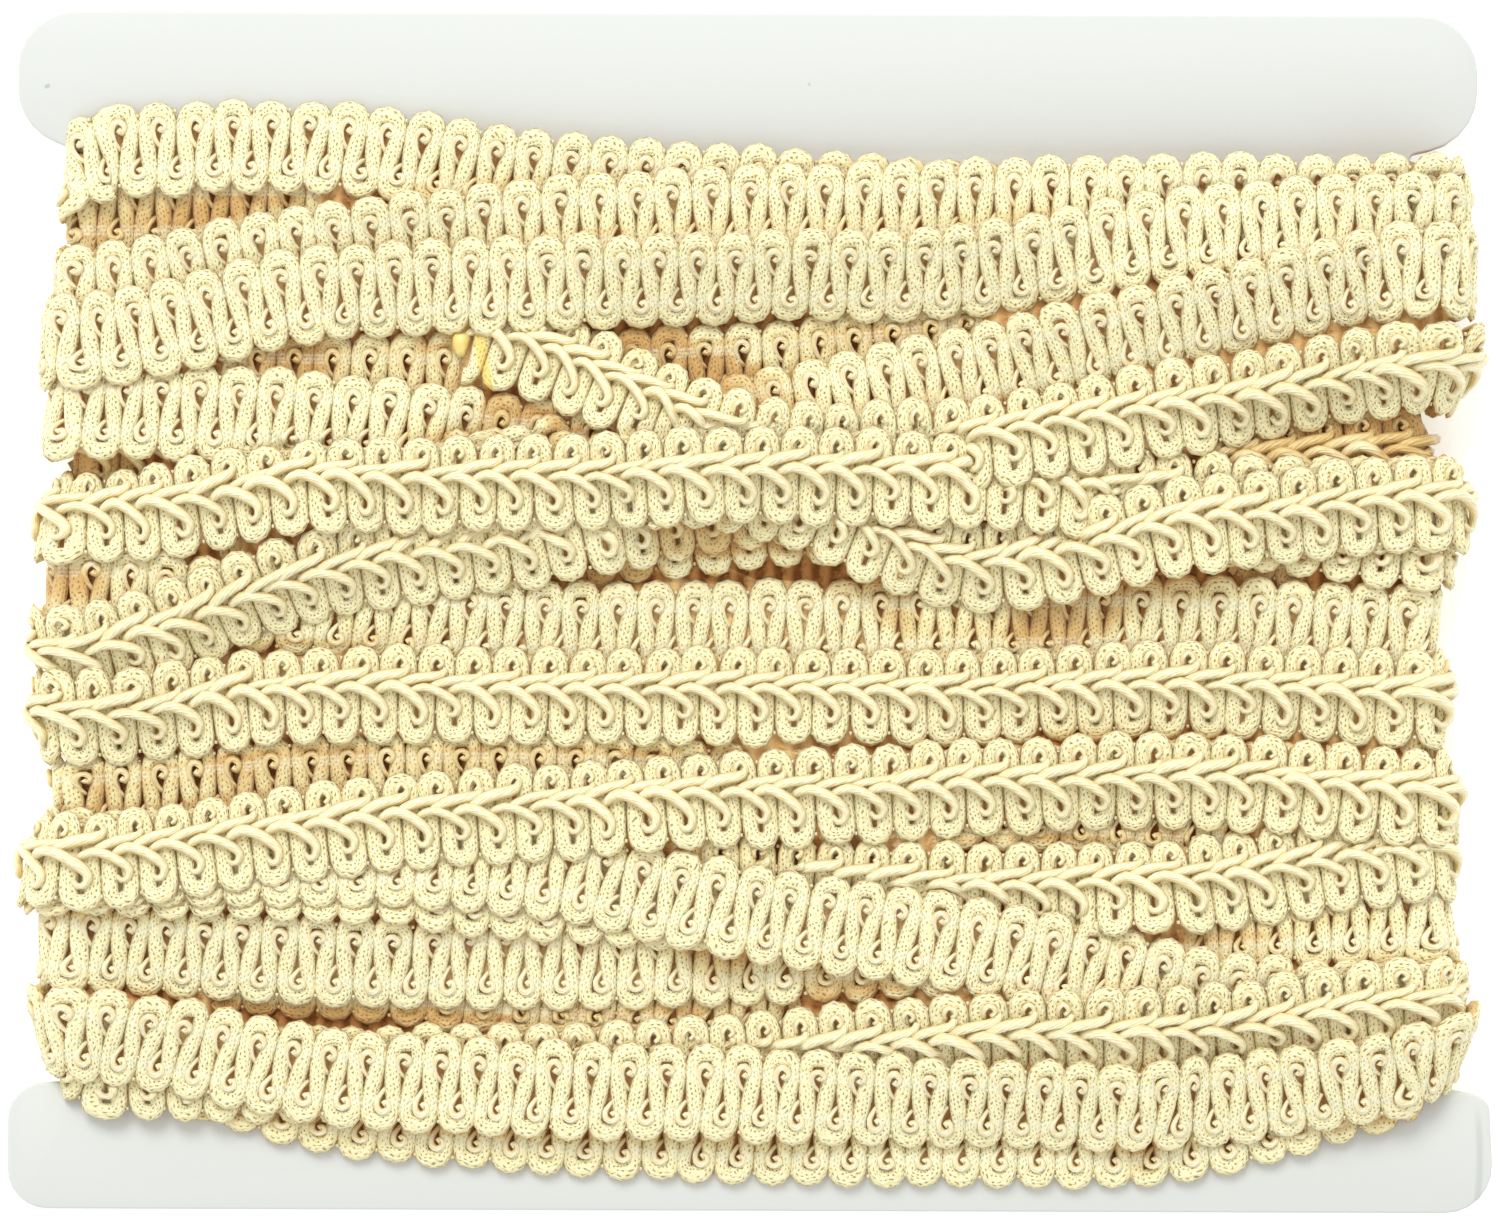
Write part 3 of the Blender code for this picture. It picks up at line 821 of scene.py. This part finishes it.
class Shade:
    """A shader socket that takes part in sums, with whole expressions adding their nodes."""

    def __init__(self, tree, socket):
        self.tree, self.socket = tree, socket

    def math(self, operation, *values, clamp=False):
        """A Math node on these values."""
        node = self.tree.nodes.new("ShaderNodeMath")
        node.operation, node.use_clamp = operation, clamp
        for entry, value in zip(node.inputs, values):
            connect(self.tree, value, entry)
        return Shade(self.tree, node.outputs[0])

    def __add__(self, other):
        return self.math("ADD", self, other)

    def __radd__(self, other):
        return self.math("ADD", other, self)

    def __sub__(self, other):
        return self.math("SUBTRACT", self, other)

    def __rsub__(self, other):
        return self.math("SUBTRACT", other, self)

    def __mul__(self, other):
        return self.math("MULTIPLY", self, other)

    def __rmul__(self, other):
        return self.math("MULTIPLY", other, self)

    def sine(self):
        """Its sine."""
        return self.math("SINE", self)

    def size(self):
        """Its absolute value."""
        return self.math("ABSOLUTE", self)

    def clamped(self):
        """Itself, kept from 0 to 1."""
        return self.math("ADD", self, 0.0, clamp=True)

    def band(self, low, high):
        """A smooth step, 0 at low and 1 at high."""
        node = self.tree.nodes.new("ShaderNodeMapRange")
        node.interpolation_type = "SMOOTHSTEP"
        connect(self.tree, self, node.inputs["Value"])
        node.inputs["From Min"].default_value = low
        node.inputs["From Max"].default_value = high
        return Shade(self.tree, node.outputs["Result"])


def connect(tree, value, entry):
    """Set a socket, or link it if the value is a socket too."""
    if isinstance(value, Shade):
        tree.links.new(value.socket, entry)
    else:
        entry.default_value = tuple(value) if entry.type == "RGBA" else value


class Finish:
    """A material and the nodes that make it."""

    def __init__(self, name):
        self.material = bpy.data.materials.new(name)
        self.material.use_nodes = True
        self.tree = self.material.node_tree
        self.shader = self.tree.nodes["Principled BSDF"]

    def node(self, kind, output, settings=None, **sockets):
        """Any node, its settings first and then its sockets' values or links."""
        node = self.tree.nodes.new(kind)
        for name, value in (settings or {}).items():
            setattr(node, name, value)
        for name, value in sockets.items():
            connect(self.tree, value, node.inputs[name.replace("_", " ")])
        return Shade(self.tree, node.outputs[output])

    def places(self):
        """Object coordinates."""
        return self.node("ShaderNodeTexCoord", "Object")

    def axes(self, vector):
        """The first two coordinates of a vector."""
        return [self.node("ShaderNodeSeparateXYZ", name, Vector=vector) for name in "XY"]

    def cord_map(self):
        """How far along and round the cord, in millimetres."""
        return self.node("ShaderNodeUVMap", "UV", {"uv_map": "cord"})

    def fibres(self, cord, scale, detail, roughness=0.5):
        """Noise drawn out along the cord."""
        drawn = self.node("ShaderNodeMapping", "Vector", Vector=cord, Scale=scale)
        return self.noise(drawn, 1.0, detail, roughness)

    def attribute(self, name):
        """A number kept in the mesh."""
        return self.node("ShaderNodeAttribute", "Fac", {"attribute_name": name})

    def noise(self, vector, scale, detail=2.0, roughness=0.5):
        """Smooth noise from 0 to 1."""
        return self.node(
            "ShaderNodeTexNoise", "Fac", Vector=vector, Scale=scale, Detail=detail, Roughness=roughness
        )

    def mix(self, factor, first, second):
        """A colour between two."""
        node = self.tree.nodes.new("ShaderNodeMix")
        node.data_type = "RGBA"
        connect(self.tree, factor, node.inputs["Factor"])
        connect(self.tree, first, node.inputs[6])
        connect(self.tree, second, node.inputs[7])
        return Shade(self.tree, node.outputs[2])

    def bump(self, height, strength, distance):
        """A normal raised by a height."""
        return self.node("ShaderNodeBump", "Normal", Height=height, Strength=strength, Distance=distance)

    def set(self, **values):
        """Set or link the shader's own sockets."""
        for name, value in values.items():
            connect(self.tree, value, self.shader.inputs[name.replace("_", " ")])
        return self.material


def yarn_finish(name, settings, glued=False):
    """Matt knitted cord: rows of small dashes, painted warm shade on its sides, low down and beside higher
    edges, a faint painted glow, and hazy under the clear thread.
    """
    finish = Finish(name)
    cord, places = finish.cord_map(), finish.places()
    fluff = finish.fibres(cord, (1.5, 3.4, 1.0), 2.0, 0.65)
    sway = finish.noise(places, 620.0, 0.0)
    along, around = (axis + sway for axis in finish.axes(cord))
    columns = (around * WALE).sine()
    stitches = (along * COURSE).sine() * (around * (WALE / 2) + math.pi / 4).sine() * 0.5 + 0.5
    dashes = stitches.band(0.48, 0.92) * columns.band(0.3, 0.98) * (1.0 - fluff.band(0.46, 0.62))
    patches = finish.noise(places, 160.0, 1.0)
    depth, crown, reach = (finish.attribute(key) for key in ("depth", "crown", "reach"))
    # Painted shade on the cord's sides and underside, from how far round the cord each point lies
    low, lowest = 1.0 - crown.band(-0.3, 0.75), 1.0 - crown.band(-0.3, 0.45)
    haze = reach.band(1.9, 2.4) * (1.0 - reach.band(3.3, 3.8))
    streaks = (1.0 - fluff.band(0.36, 0.58)) * 0.66 + columns.band(-0.2, 1.0) * 0.12
    colour = finish.mix(streaks * (1.0 - haze * 0.6), settings.yarn_colour, settings.grain_and_shade_colour)
    # Painted shade beside higher edges and on the cord's sides, with a little random patchiness of the
    # yarn's tone
    shaded = depth.band(0.7, 2.8) * 0.5 + patches * 0.08 + low * 0.35
    colour = finish.mix(shaded.clamped(), colour, settings.grain_and_shade_colour)
    # Painted deeper shade low on the cord and down between the turns
    deep = lowest * 0.7 + depth.band(1.4, 4.0) * 0.9
    colour = finish.mix(deep.clamped(), colour, settings.painted_shade_colour)
    colour = finish.mix(dashes * (1.0 - haze * 0.8) * 0.85, colour, settings.dash_colour)
    lines = (reach * THREADS + fluff * 3.0).sine() * 0.25 + 0.35
    colour = finish.mix(haze * lines, colour, settings.thread_colour)
    if glued:
        x, y = finish.axes(places)
        line = (x * 1000.0 + y * 180.0 + fluff * 1.2 + 29.6).size()
        colour = finish.mix((1.0 - line.band(0.5, 1.1)) * 0.9, colour, settings.glue_colour)
    normal = finish.bump(fluff * 1.4 - dashes * 0.7 - columns * 0.12, 0.9, 0.26 * MM)
    # The faint emission is a painted glow that lifts the yarn's shade
    return finish.set(
        Base_Color=colour, Roughness=0.82, Normal=normal, Sheen_Weight=0.25, Sheen_Roughness=0.5,
        Specular_IOR_Level=0.25, Emission_Color=colour, Emission_Strength=0.05,
    )


def satin_finish(name, settings, top_colour):
    """Satin cord: smooth bright strands laid with a twist, with painted shade on their undersides and low
    down in the pile.
    """
    finish = Finish(name)
    cord = finish.cord_map()
    along, around = finish.axes(cord)
    strands = (along * 4.5 + around * 14.0).sine() * 0.5 + 0.5
    fibres = finish.fibres(cord, (0.8, 4.0, 1.0), 1.0)
    depth = finish.attribute("depth")
    # Painted shade on the underside and low in the pile, browner deeper down
    low = 1.0 - finish.attribute("crown").band(-0.2, 0.9)
    shaded = (depth.band(0.4, 3.4) * 0.6 + low * 0.8).clamped()
    colour = finish.mix(shaded, top_colour, settings.painted_satin_shade_colour)
    colour = finish.mix(depth.band(1.6, 5.0) * 0.85, colour, settings.painted_shade_colour)
    threads = (1.0 - strands) * 0.40 + (1.0 - fibres.band(0.35, 0.6)) * 0.45
    colour = finish.mix(threads, colour, settings.grain_and_shade_colour)
    return finish.set(
        Base_Color=colour, Roughness=0.30, Normal=finish.bump(strands * 0.7 + fibres * 0.9, 0.6, 0.16 * MM),
        Sheen_Weight=0.2, Sheen_Roughness=0.4, Specular_IOR_Level=0.5,
    )


def painted_shade_yarn_finish(name):
    """The yarn in the shade under the loops, coloured with painted shade: strands side by side, a browner
    painted shade low down and a faint painted glow.
    """
    finish = Finish(name)
    places = finish.places()
    fluff = finish.noise(places, 800.0, 3.0, 0.6)
    strands = (finish.axes(places)[0] * STRANDS + fluff * 3.0).sine() * 0.25 + fluff
    light = strands.band(0.2, 0.75)
    # Painted shade: golden brown near the top of the pile, dark brown deeper down
    near = finish.mix(light, srgb(208, 162, 100), srgb(247, 214, 150))
    far = finish.mix(light, srgb(122, 74, 36), srgb(184, 132, 76))
    colour = finish.mix(finish.attribute("depth").band(1.6, 3.2), near, far)
    # The faint emission is a painted glow that lifts the shade
    return finish.set(
        Base_Color=colour, Roughness=0.95, Normal=finish.bump(strands, 1.0, 0.8 * MM),
        Specular_IOR_Level=0.1, Emission_Color=colour, Emission_Strength=0.10,
    )


def glue_finish(name, settings):
    """Yarn soaked with clear yellow glue."""
    finish = Finish(name)
    fluff = finish.noise(finish.places(), 700.0, 3.0, 0.6)
    return finish.set(
        Base_Color=finish.mix(fluff.band(0.3, 0.7), settings.glue_colour, settings.grain_and_shade_colour),
        Roughness=0.35, Normal=finish.bump(fluff, 0.6, 0.4 * MM), Coat_Weight=0.6, Coat_Roughness=0.2,
    )


def board_finish(name, settings):
    """White board: faint fibres, a few grey specks and a soft crease in the lower right ear, its line
    darkened with painted shade.
    """
    finish = Finish(name)
    places = finish.places()
    fibres = finish.noise(places, 900.0, 4.0, 0.65)
    clouds = finish.noise(places, 22.0, 3.0)
    specks = finish.noise(places, 420.0, 1.0).band(0.80, 0.84)
    colour = finish.mix(clouds * 0.16, settings.board_colour, srgb(220, 223, 218))
    colour = finish.mix(specks * 0.7, colour, settings.speck_and_crease_shade_colour)
    x, y = finish.axes(places)
    bend = (y + 0.0745) * (y + 0.0745) * 9.0
    line = (x - 0.1003 + bend + clouds * 0.0006).size()
    crease = (1.0 - line.band(0.0001, 0.0007)) * (1.0 - y.band(-0.072, -0.066))
    # Painted shade along the crease line
    colour = finish.mix(crease * 0.35, colour, settings.speck_and_crease_shade_colour)
    normal = finish.bump(fibres * 0.35 + clouds * 2.0 + crease * 1.2, 0.25, 0.3 * MM)
    return finish.set(Base_Color=colour, Roughness=0.62, Normal=normal, Specular_IOR_Level=0.35)


def floor_finish(name, settings):
    """A plain pale floor."""
    finish = Finish(name)
    grain = finish.noise(finish.places(), 3.0, 2.0)
    return finish.set(
        Base_Color=finish.mix(grain * 0.1, settings.floor_colour, srgb(250, 250, 250)),
        Roughness=0.8, Specular_IOR_Level=0.1, Emission_Color=(1.0, 1.0, 1.0, 1.0),
        Emission_Strength=settings.floor_glow,
    )


FINISHES = {}


@cache
def the_winding():
    """The winding, worked out once."""
    return Winding()


def finish_of(name, make, *values):
    """A material, made once."""
    if name not in FINISHES:
        FINISHES[name] = make(name, *values)
    return FINISHES[name]


class Laying:
    """What a piece on one side of the braid is made with: its loops, their differences and parts."""

    def __init__(self, which, zones, rows, seed):
        self.which, self.settings, self.winding = which, bpy.context.scene.gimp_braid, the_winding()
        self.route, self.pitch = self.winding.routes[which], self.settings.pitch
        count = int(self.route.length[-1] / self.pitch)
        self.noise = np.clip(np.random.default_rng(seed).normal(size=(2, count + 8, 3)), -2, 2)
        self.stretches = self.choose(zones, rows)
        self.parts = MeshParts()

    def choose(self, zones, rows):
        """The stretches of loops that belong to the piece: their first loop and how many."""
        loose = int(LOOSE_REACH / self.pitch) if self.which else 0
        chosen = []
        for first, count in self.winding.stretches(self.route, self.pitch, zones):
            for index in range(first, first + count):
                place = (index + 0.5) * self.pitch + self.route.first
                middle = np.interp(place, self.route.length, self.route.point[:, 1])
                if rows == LOOSE:
                    wanted = index < loose
                else:
                    wanted = index >= loose and rows[0] <= middle < rows[1]
                if wanted and chosen and chosen[-1][0] + chosen[-1][1] == index:
                    chosen[-1][1] += 1
                elif wanted:
                    chosen.append([index, 1])
        return chosen

    def starts(self, offset):
        """The loops of the piece and their places along the braid."""
        loops = [loop for first, count in self.stretches for loop in range(first, first + count)]
        return np.array(loops, int), np.array([(loop + offset) * self.pitch for loop in loops])

    def add_cord(self, detail):
        """The knitted cord."""
        loops = (SCROLL_LOOPS, SPINE_LOOPS)[self.which]
        sides = len(detail.around)
        girth = math.pi * (loops.side_width + loops.half_height) / 2 * sides / (sides - 2)
        crown = np.sin(np.radians(detail.around))
        for first, count in self.stretches:
            rings, length = loop_run(first, count, loops, self.pitch, detail, self.noise)
            points, depth = self.winding.place(self.route, rings[..., 0], rings[..., 1], rings[..., 2])
            reach = None if self.which else np.abs(rings[..., 1])
            self.parts.add(points[None], length[None, :], girth, depth, crown, reach)

    def add_strands(self, starts, knots, detail, noise, middle=0.0):
        """A copy of one strand at each start along the route, each a little different."""
        if not len(starts):
            return
        rings, length = strand_rings(knots, detail)
        shape = (len(starts), 1, 1)
        stray_along, stray_across, stray_out = (noise[:, index].reshape(shape) for index in range(3))
        along = starts.reshape(shape) + rings[..., 0] + stray_along * JITTER_ALONG
        across = middle + rings[..., 1] * (1 + stray_across * STRAND_REACH)
        out = rings[..., 2] * (1 + stray_out * STRAND_OUT)
        points, depth = self.winding.place(self.route, along, across, out, sinks=True)
        perimeter = 2 * math.pi * max(knot.radius for knot in knots) * MM
        self.parts.add(points, length[None, :], perimeter, depth)


def build_cord(name, which, zones, detail, rows=ALL_ROWS, replaced="wound_braid"):
    """The knitted cord of one side of the braid on some zones and rows of turns."""
    laying = Laying(which, zones, rows, SEED + which)
    laying.add_cord(detail)
    glued = rows == LOOSE
    material = finish_of(name + "_yarn" if glued else "knitted_yarn", yarn_finish, laying.settings, glued)
    return laying.parts.build(name, material, replaced)


def build_strands(name, which, zones, detail, rows=ALL_ROWS, replaced="wound_braid"):
    """The satin spine of one side of the braid, or the thin curls of the other."""
    laying = Laying(which, zones, rows, SATIN_SEED if which else CURL_SEED)
    for line in SPINE_LINES if which else CURL_LINES:
        loops, starts = laying.starts(line.offset)
        laying.add_strands(starts, line.knots, detail, laying.noise[line.row, loops], line.middle)
    settings = laying.settings
    finish = ("satin_cord", settings.satin_colour) if which else ("curl_cord", settings.curl_colour)
    return laying.parts.build(name, finish_of(finish[0], satin_finish, settings, finish[1]), replaced)


def build_stitches(name, which, zones):
    """The small stitches that tie each loop to the next."""
    laying = Laying(which, zones, ALL_ROWS, STITCH_SEED + which)
    settings = laying.settings
    rings = stitch_rings(settings.stitch_size)
    for sign, offset in ((1, 0.0), (-1, 0.5)):
        loops, starts = laying.starts(offset)
        for order, level in enumerate(STITCH_LEVELS):
            differ = laying.noise[order, loops].reshape(-1, 1, 1, 3)
            along = starts.reshape(-1, 1, 1) + rings[..., 0] + differ[..., 0] * STITCH_STRAY[0]
            across = sign * level * MM + rings[..., 1] + differ[..., 1] * STITCH_STRAY[1]
            out = STITCH_HEIGHTS[which] + rings[..., 2]
            points, depth = laying.winding.place(laying.route, along, across, out)
            laying.parts.add(points, np.arange(2)[None, :] * settings.stitch_size, STITCH_GIRTH, depth)
    material = finish_of("sewing_thread", satin_finish, settings, settings.thread_colour)
    return laying.parts.build(name, material, "wound_braid")


def build_glued_tip(name):
    """The cut end of the loose run, soaked with glue."""
    laying = Laying(1, (FACE,), LOOSE, SEED)
    laying.add_strands(np.zeros(1), GLUED_TIP, FINE, np.zeros((1, 3)))
    return laying.parts.build(name, finish_of("glued_yarn", glue_finish, laying.settings), "loose_end")


def lowest_near(surface):
    """The lowest of the surface round each place, so that the shaded yarn stays under each edge."""
    low = surface.copy()
    for step in range(1, CORE_REACH + 1):
        for side in (-1, 1):
            low = np.minimum(low, np.roll(surface, side * step, axis=1))
    return low


def core_ring(low_surface, shade, column, normal_x, normal_z):
    """A closed section of the shaded yarn at a column, out along its normal, and its depths."""
    surface = low_surface[column]
    covered = SAMPLES[surface > 0]
    room = EAR_ROOM + BRAID_WIDTH / 2 + (WAIST_HALF - abs(COLUMNS[column])) * EAR_SLOPE - CORE_INSET
    low, high = max(covered[0], -room), min(covered[-1], room)
    y = np.linspace(high, low, int((SAMPLES[-1] - SAMPLES[0]) / CORE_ROW))
    height = np.maximum(np.interp(y, SAMPLES, surface) - CORE_DROP, CORE_LEAST)
    y = np.concatenate((y, (low, high)))
    height = np.concatenate((height, (CORE_HEM, CORE_HEM)))
    depth = np.interp(y, SAMPLES, shade[column]) - height
    out = CARD_THICKNESS / 2 + height
    return np.column_stack((COLUMNS[column] + normal_x * out, y, CARD_LEVEL + normal_z * out, depth))


def build_core(name):
    """The shaded yarn under the loops, one closed ring round the card."""
    winding = the_winding()
    face = lowest_near(winding.face.surface), winding.face_shade
    back = lowest_near(winding.back.surface), winding.back_shade
    columns = range(0, len(COLUMNS), CORE_STEP)
    last = columns[-1]
    rings = [core_ring(*face, column, 0, 1) for column in columns]
    rings += [core_ring(*face, last, math.sin(angle), math.cos(angle)) for angle in EDGE_ANGLES]
    rings += [core_ring(*back, column, 0, -1) for column in reversed(columns)]
    rings += [core_ring(*face, 0, -math.sin(angle), -math.cos(angle)) for angle in EDGE_ANGLES]
    rings = np.array(rings + rings[:1])
    places = rest_on_surface(rings[..., :3])
    lengths = np.arange(len(rings))[None, :] * CORE_RING_LENGTH
    parts = MeshParts()
    parts.add(places[None], lengths, CORE_GIRTH, rings[..., 3])
    # The sheet's colour is painted shade standing in for the yarn below the turns
    return parts.build(name, finish_of("ground_yarn", painted_shade_yarn_finish), "wound_braid")


class GIMPBRAID_OT_scroll_cord(bpy.types.Operator):
    """Lay the knitted cord of the turns that show their scroll side"""

    bl_idname = "gimpbraid.scroll_cord"
    bl_label = "Scroll side cord"

    def execute(self, context):
        build_cord("scroll_cord_upper", 0, (FACE, EDGE), FINE, UPPER_ROWS)
        build_cord("scroll_cord_lower", 0, (FACE, EDGE), FINE, LOWER_ROWS)
        build_cord("scroll_cord_back", 0, (BACK,), PLAIN)
        return {"FINISHED"}


class GIMPBRAID_OT_spine_cord(bpy.types.Operator):
    """Lay the knitted cord of the turns that show their spine side"""

    bl_idname = "gimpbraid.spine_cord"
    bl_label = "Spine side cord"

    def execute(self, context):
        build_cord("spine_cord_face", 1, (FACE, EDGE), FINE)
        build_cord("spine_cord_back", 1, (BACK,), PLAIN)
        return {"FINISHED"}


class GIMPBRAID_OT_satin(bpy.types.Operator):
    """Lay the satin spine"""

    bl_idname = "gimpbraid.satin"
    bl_label = "Satin spine"

    def execute(self, context):
        build_strands("satin_spine_face", 1, (FACE, EDGE), FINE)
        build_strands("satin_spine_back", 1, (BACK,), PLAIN)
        return {"FINISHED"}


class GIMPBRAID_OT_curls(bpy.types.Operator):
    """Put the thin curls in the loops and the stitches between them"""

    bl_idname = "gimpbraid.curls"
    bl_label = "Curls and stitches"

    def execute(self, context):
        build_strands("scroll_curls_face", 0, (FACE, EDGE), CURLED)
        build_strands("scroll_curls_back", 0, (BACK,), PLAIN)
        build_stitches("scroll_stitches", 0, (FACE, EDGE))
        build_stitches("spine_stitches", 1, (FACE, EDGE))
        return {"FINISHED"}


class GIMPBRAID_OT_ground(bpy.types.Operator):
    """Lay the shaded yarn under the loops"""

    bl_idname = "gimpbraid.ground"
    bl_label = "Shaded yarn"

    def execute(self, context):
        build_core("shaded_yarn")
        return {"FINISHED"}


class GIMPBRAID_OT_loose_end(bpy.types.Operator):
    """Lay the braid's loose cut end"""

    bl_idname = "gimpbraid.loose_end"
    bl_label = "Loose end"

    def execute(self, context):
        cord = build_cord("loose_end_cord", 1, (FACE,), FINE, LOOSE, "loose_end")
        satin = build_strands("loose_end_satin", 1, (FACE,), FINE, LOOSE, "loose_end")
        tip = build_glued_tip("loose_end_glue")
        pitch = context.scene.gimp_braid.pitch
        reach = int(LOOSE_REACH / pitch) * pitch
        return {"FINISHED"}


class GIMPBRAID_OT_card(bpy.types.Operator):
    """Round the board's edges and give it its finish"""

    bl_idname = "gimpbraid.card"
    bl_label = "Card"

    def execute(self, context):
        settings = context.scene.gimp_card
        bpy.ops.object.select_all(action="DESELECT")
        board = bpy.data.objects.new("card_board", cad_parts["card"].data.copy())
        context.scene.collection.objects.link(board)
        board.select_set(True)
        context.view_layer.objects.active = board
        bpy.ops.object.mode_set(mode="EDIT")
        bpy.ops.mesh.select_all(action="SELECT")
        bpy.ops.mesh.remove_doubles(threshold=0.00001)
        bpy.ops.mesh.dissolve_limited(angle_limit=math.radians(3))
        bpy.ops.mesh.select_all(action="DESELECT")
        bpy.ops.mesh.select_mode(type="EDGE")
        bpy.ops.mesh.edges_select_sharp(sharpness=math.radians(60))
        bpy.ops.mesh.bevel(offset=settings.rounding, segments=2, profile=0.5)
        bpy.ops.object.mode_set(mode="OBJECT")
        bpy.ops.object.shade_smooth_by_angle(angle=math.radians(40))
        board.data.materials.clear()
        board.data.materials.append(finish_of("white_board", board_finish, settings))
        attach(board, "root")
        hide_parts("card")
        return {"FINISHED"}


class GIMPBRAID_OT_studio(bpy.types.Operator):
    """Put down the floor, the soft lights and the camera"""

    bl_idname = "gimpbraid.studio"
    bl_label = "Studio"

    def execute(self, context):
        settings = context.scene.gimp_studio
        bpy.ops.object.select_all(action="DESELECT")
        bpy.ops.mesh.primitive_plane_add(size=4, location=(0, 0, 0))
        floor = context.active_object
        floor.name = "floor"
        floor.data.materials.append(floor_finish("pale_floor", settings))
        world = bpy.data.worlds.new("studio_light")
        world.use_nodes = True
        background = world.node_tree.nodes["Background"]
        background.inputs["Color"].default_value = (1, 1, 1, 1)
        background.inputs["Strength"].default_value = settings.fill_strength
        context.scene.world = world
        bpy.ops.object.light_add(type="AREA", location=KEY_PLACE)
        key = context.active_object
        key.name = "key_light"
        key.data.shape = "DISK"
        key.data.size = KEY_SIZE
        key.data.energy = settings.key_power
        key.rotation_euler = KEY_TURN
        distance = PHOTO_SIZE[0] * PIXEL * settings.lens / FILM_WIDTH
        bpy.ops.object.camera_add(location=(0, 0, distance + SHARP_LEVEL), rotation=(0, 0, 0))
        camera = context.active_object
        camera.name = "camera"
        camera.data.lens = settings.lens
        camera.data.clip_start = 0.01
        context.scene.camera = camera
        context.scene.view_settings.view_transform = "Standard"
        return {"FINISHED"}


class GIMPBRAID_PT_tools(bpy.types.Panel):
    """Lists the steps that dress the braid and its card"""

    bl_label = "Gimp braid"
    bl_idname = "GIMPBRAID_PT_tools"
    bl_space_type = "VIEW_3D"
    bl_region_type = "UI"
    bl_category = "Gimp braid"

    def draw(self, context):
        layout = self.layout
        for group in (context.scene.gimp_braid, context.scene.gimp_card, context.scene.gimp_studio):
            box = layout.box()
            for name in group.bl_rna.properties.keys():
                if name not in {"rna_type", "name"}:
                    box.prop(group, name)
        for step in STEPS:
            layout.operator(step.bl_idname)


STEPS = (
    GIMPBRAID_OT_studio,
    GIMPBRAID_OT_card,
    GIMPBRAID_OT_ground,
    GIMPBRAID_OT_scroll_cord,
    GIMPBRAID_OT_spine_cord,
    GIMPBRAID_OT_satin,
    GIMPBRAID_OT_curls,
    GIMPBRAID_OT_loose_end,
)
CLASSES = (BraidSettings, CardSettings, StudioSettings, *STEPS, GIMPBRAID_PT_tools)


def register():
    """Register the classes and the settings."""
    for item in CLASSES:
        bpy.utils.register_class(item)
    bpy.types.Scene.gimp_braid = bpy.props.PointerProperty(type=BraidSettings)
    bpy.types.Scene.gimp_card = bpy.props.PointerProperty(type=CardSettings)
    bpy.types.Scene.gimp_studio = bpy.props.PointerProperty(type=StudioSettings)


def unregister():
    """Take the settings and the classes away."""
    del bpy.types.Scene.gimp_studio
    del bpy.types.Scene.gimp_card
    del bpy.types.Scene.gimp_braid
    for item in reversed(CLASSES):
        bpy.utils.unregister_class(item)


def main():
    """Dress the part."""
    register()
    bpy.ops.gimpbraid.studio()
    bpy.ops.gimpbraid.card()
    bpy.ops.gimpbraid.ground()
    bpy.ops.gimpbraid.scroll_cord()
    bpy.ops.gimpbraid.spine_cord()
    bpy.ops.gimpbraid.satin()
    bpy.ops.gimpbraid.curls()
    bpy.ops.gimpbraid.loose_end()


if __name__ == "__main__":
    main()
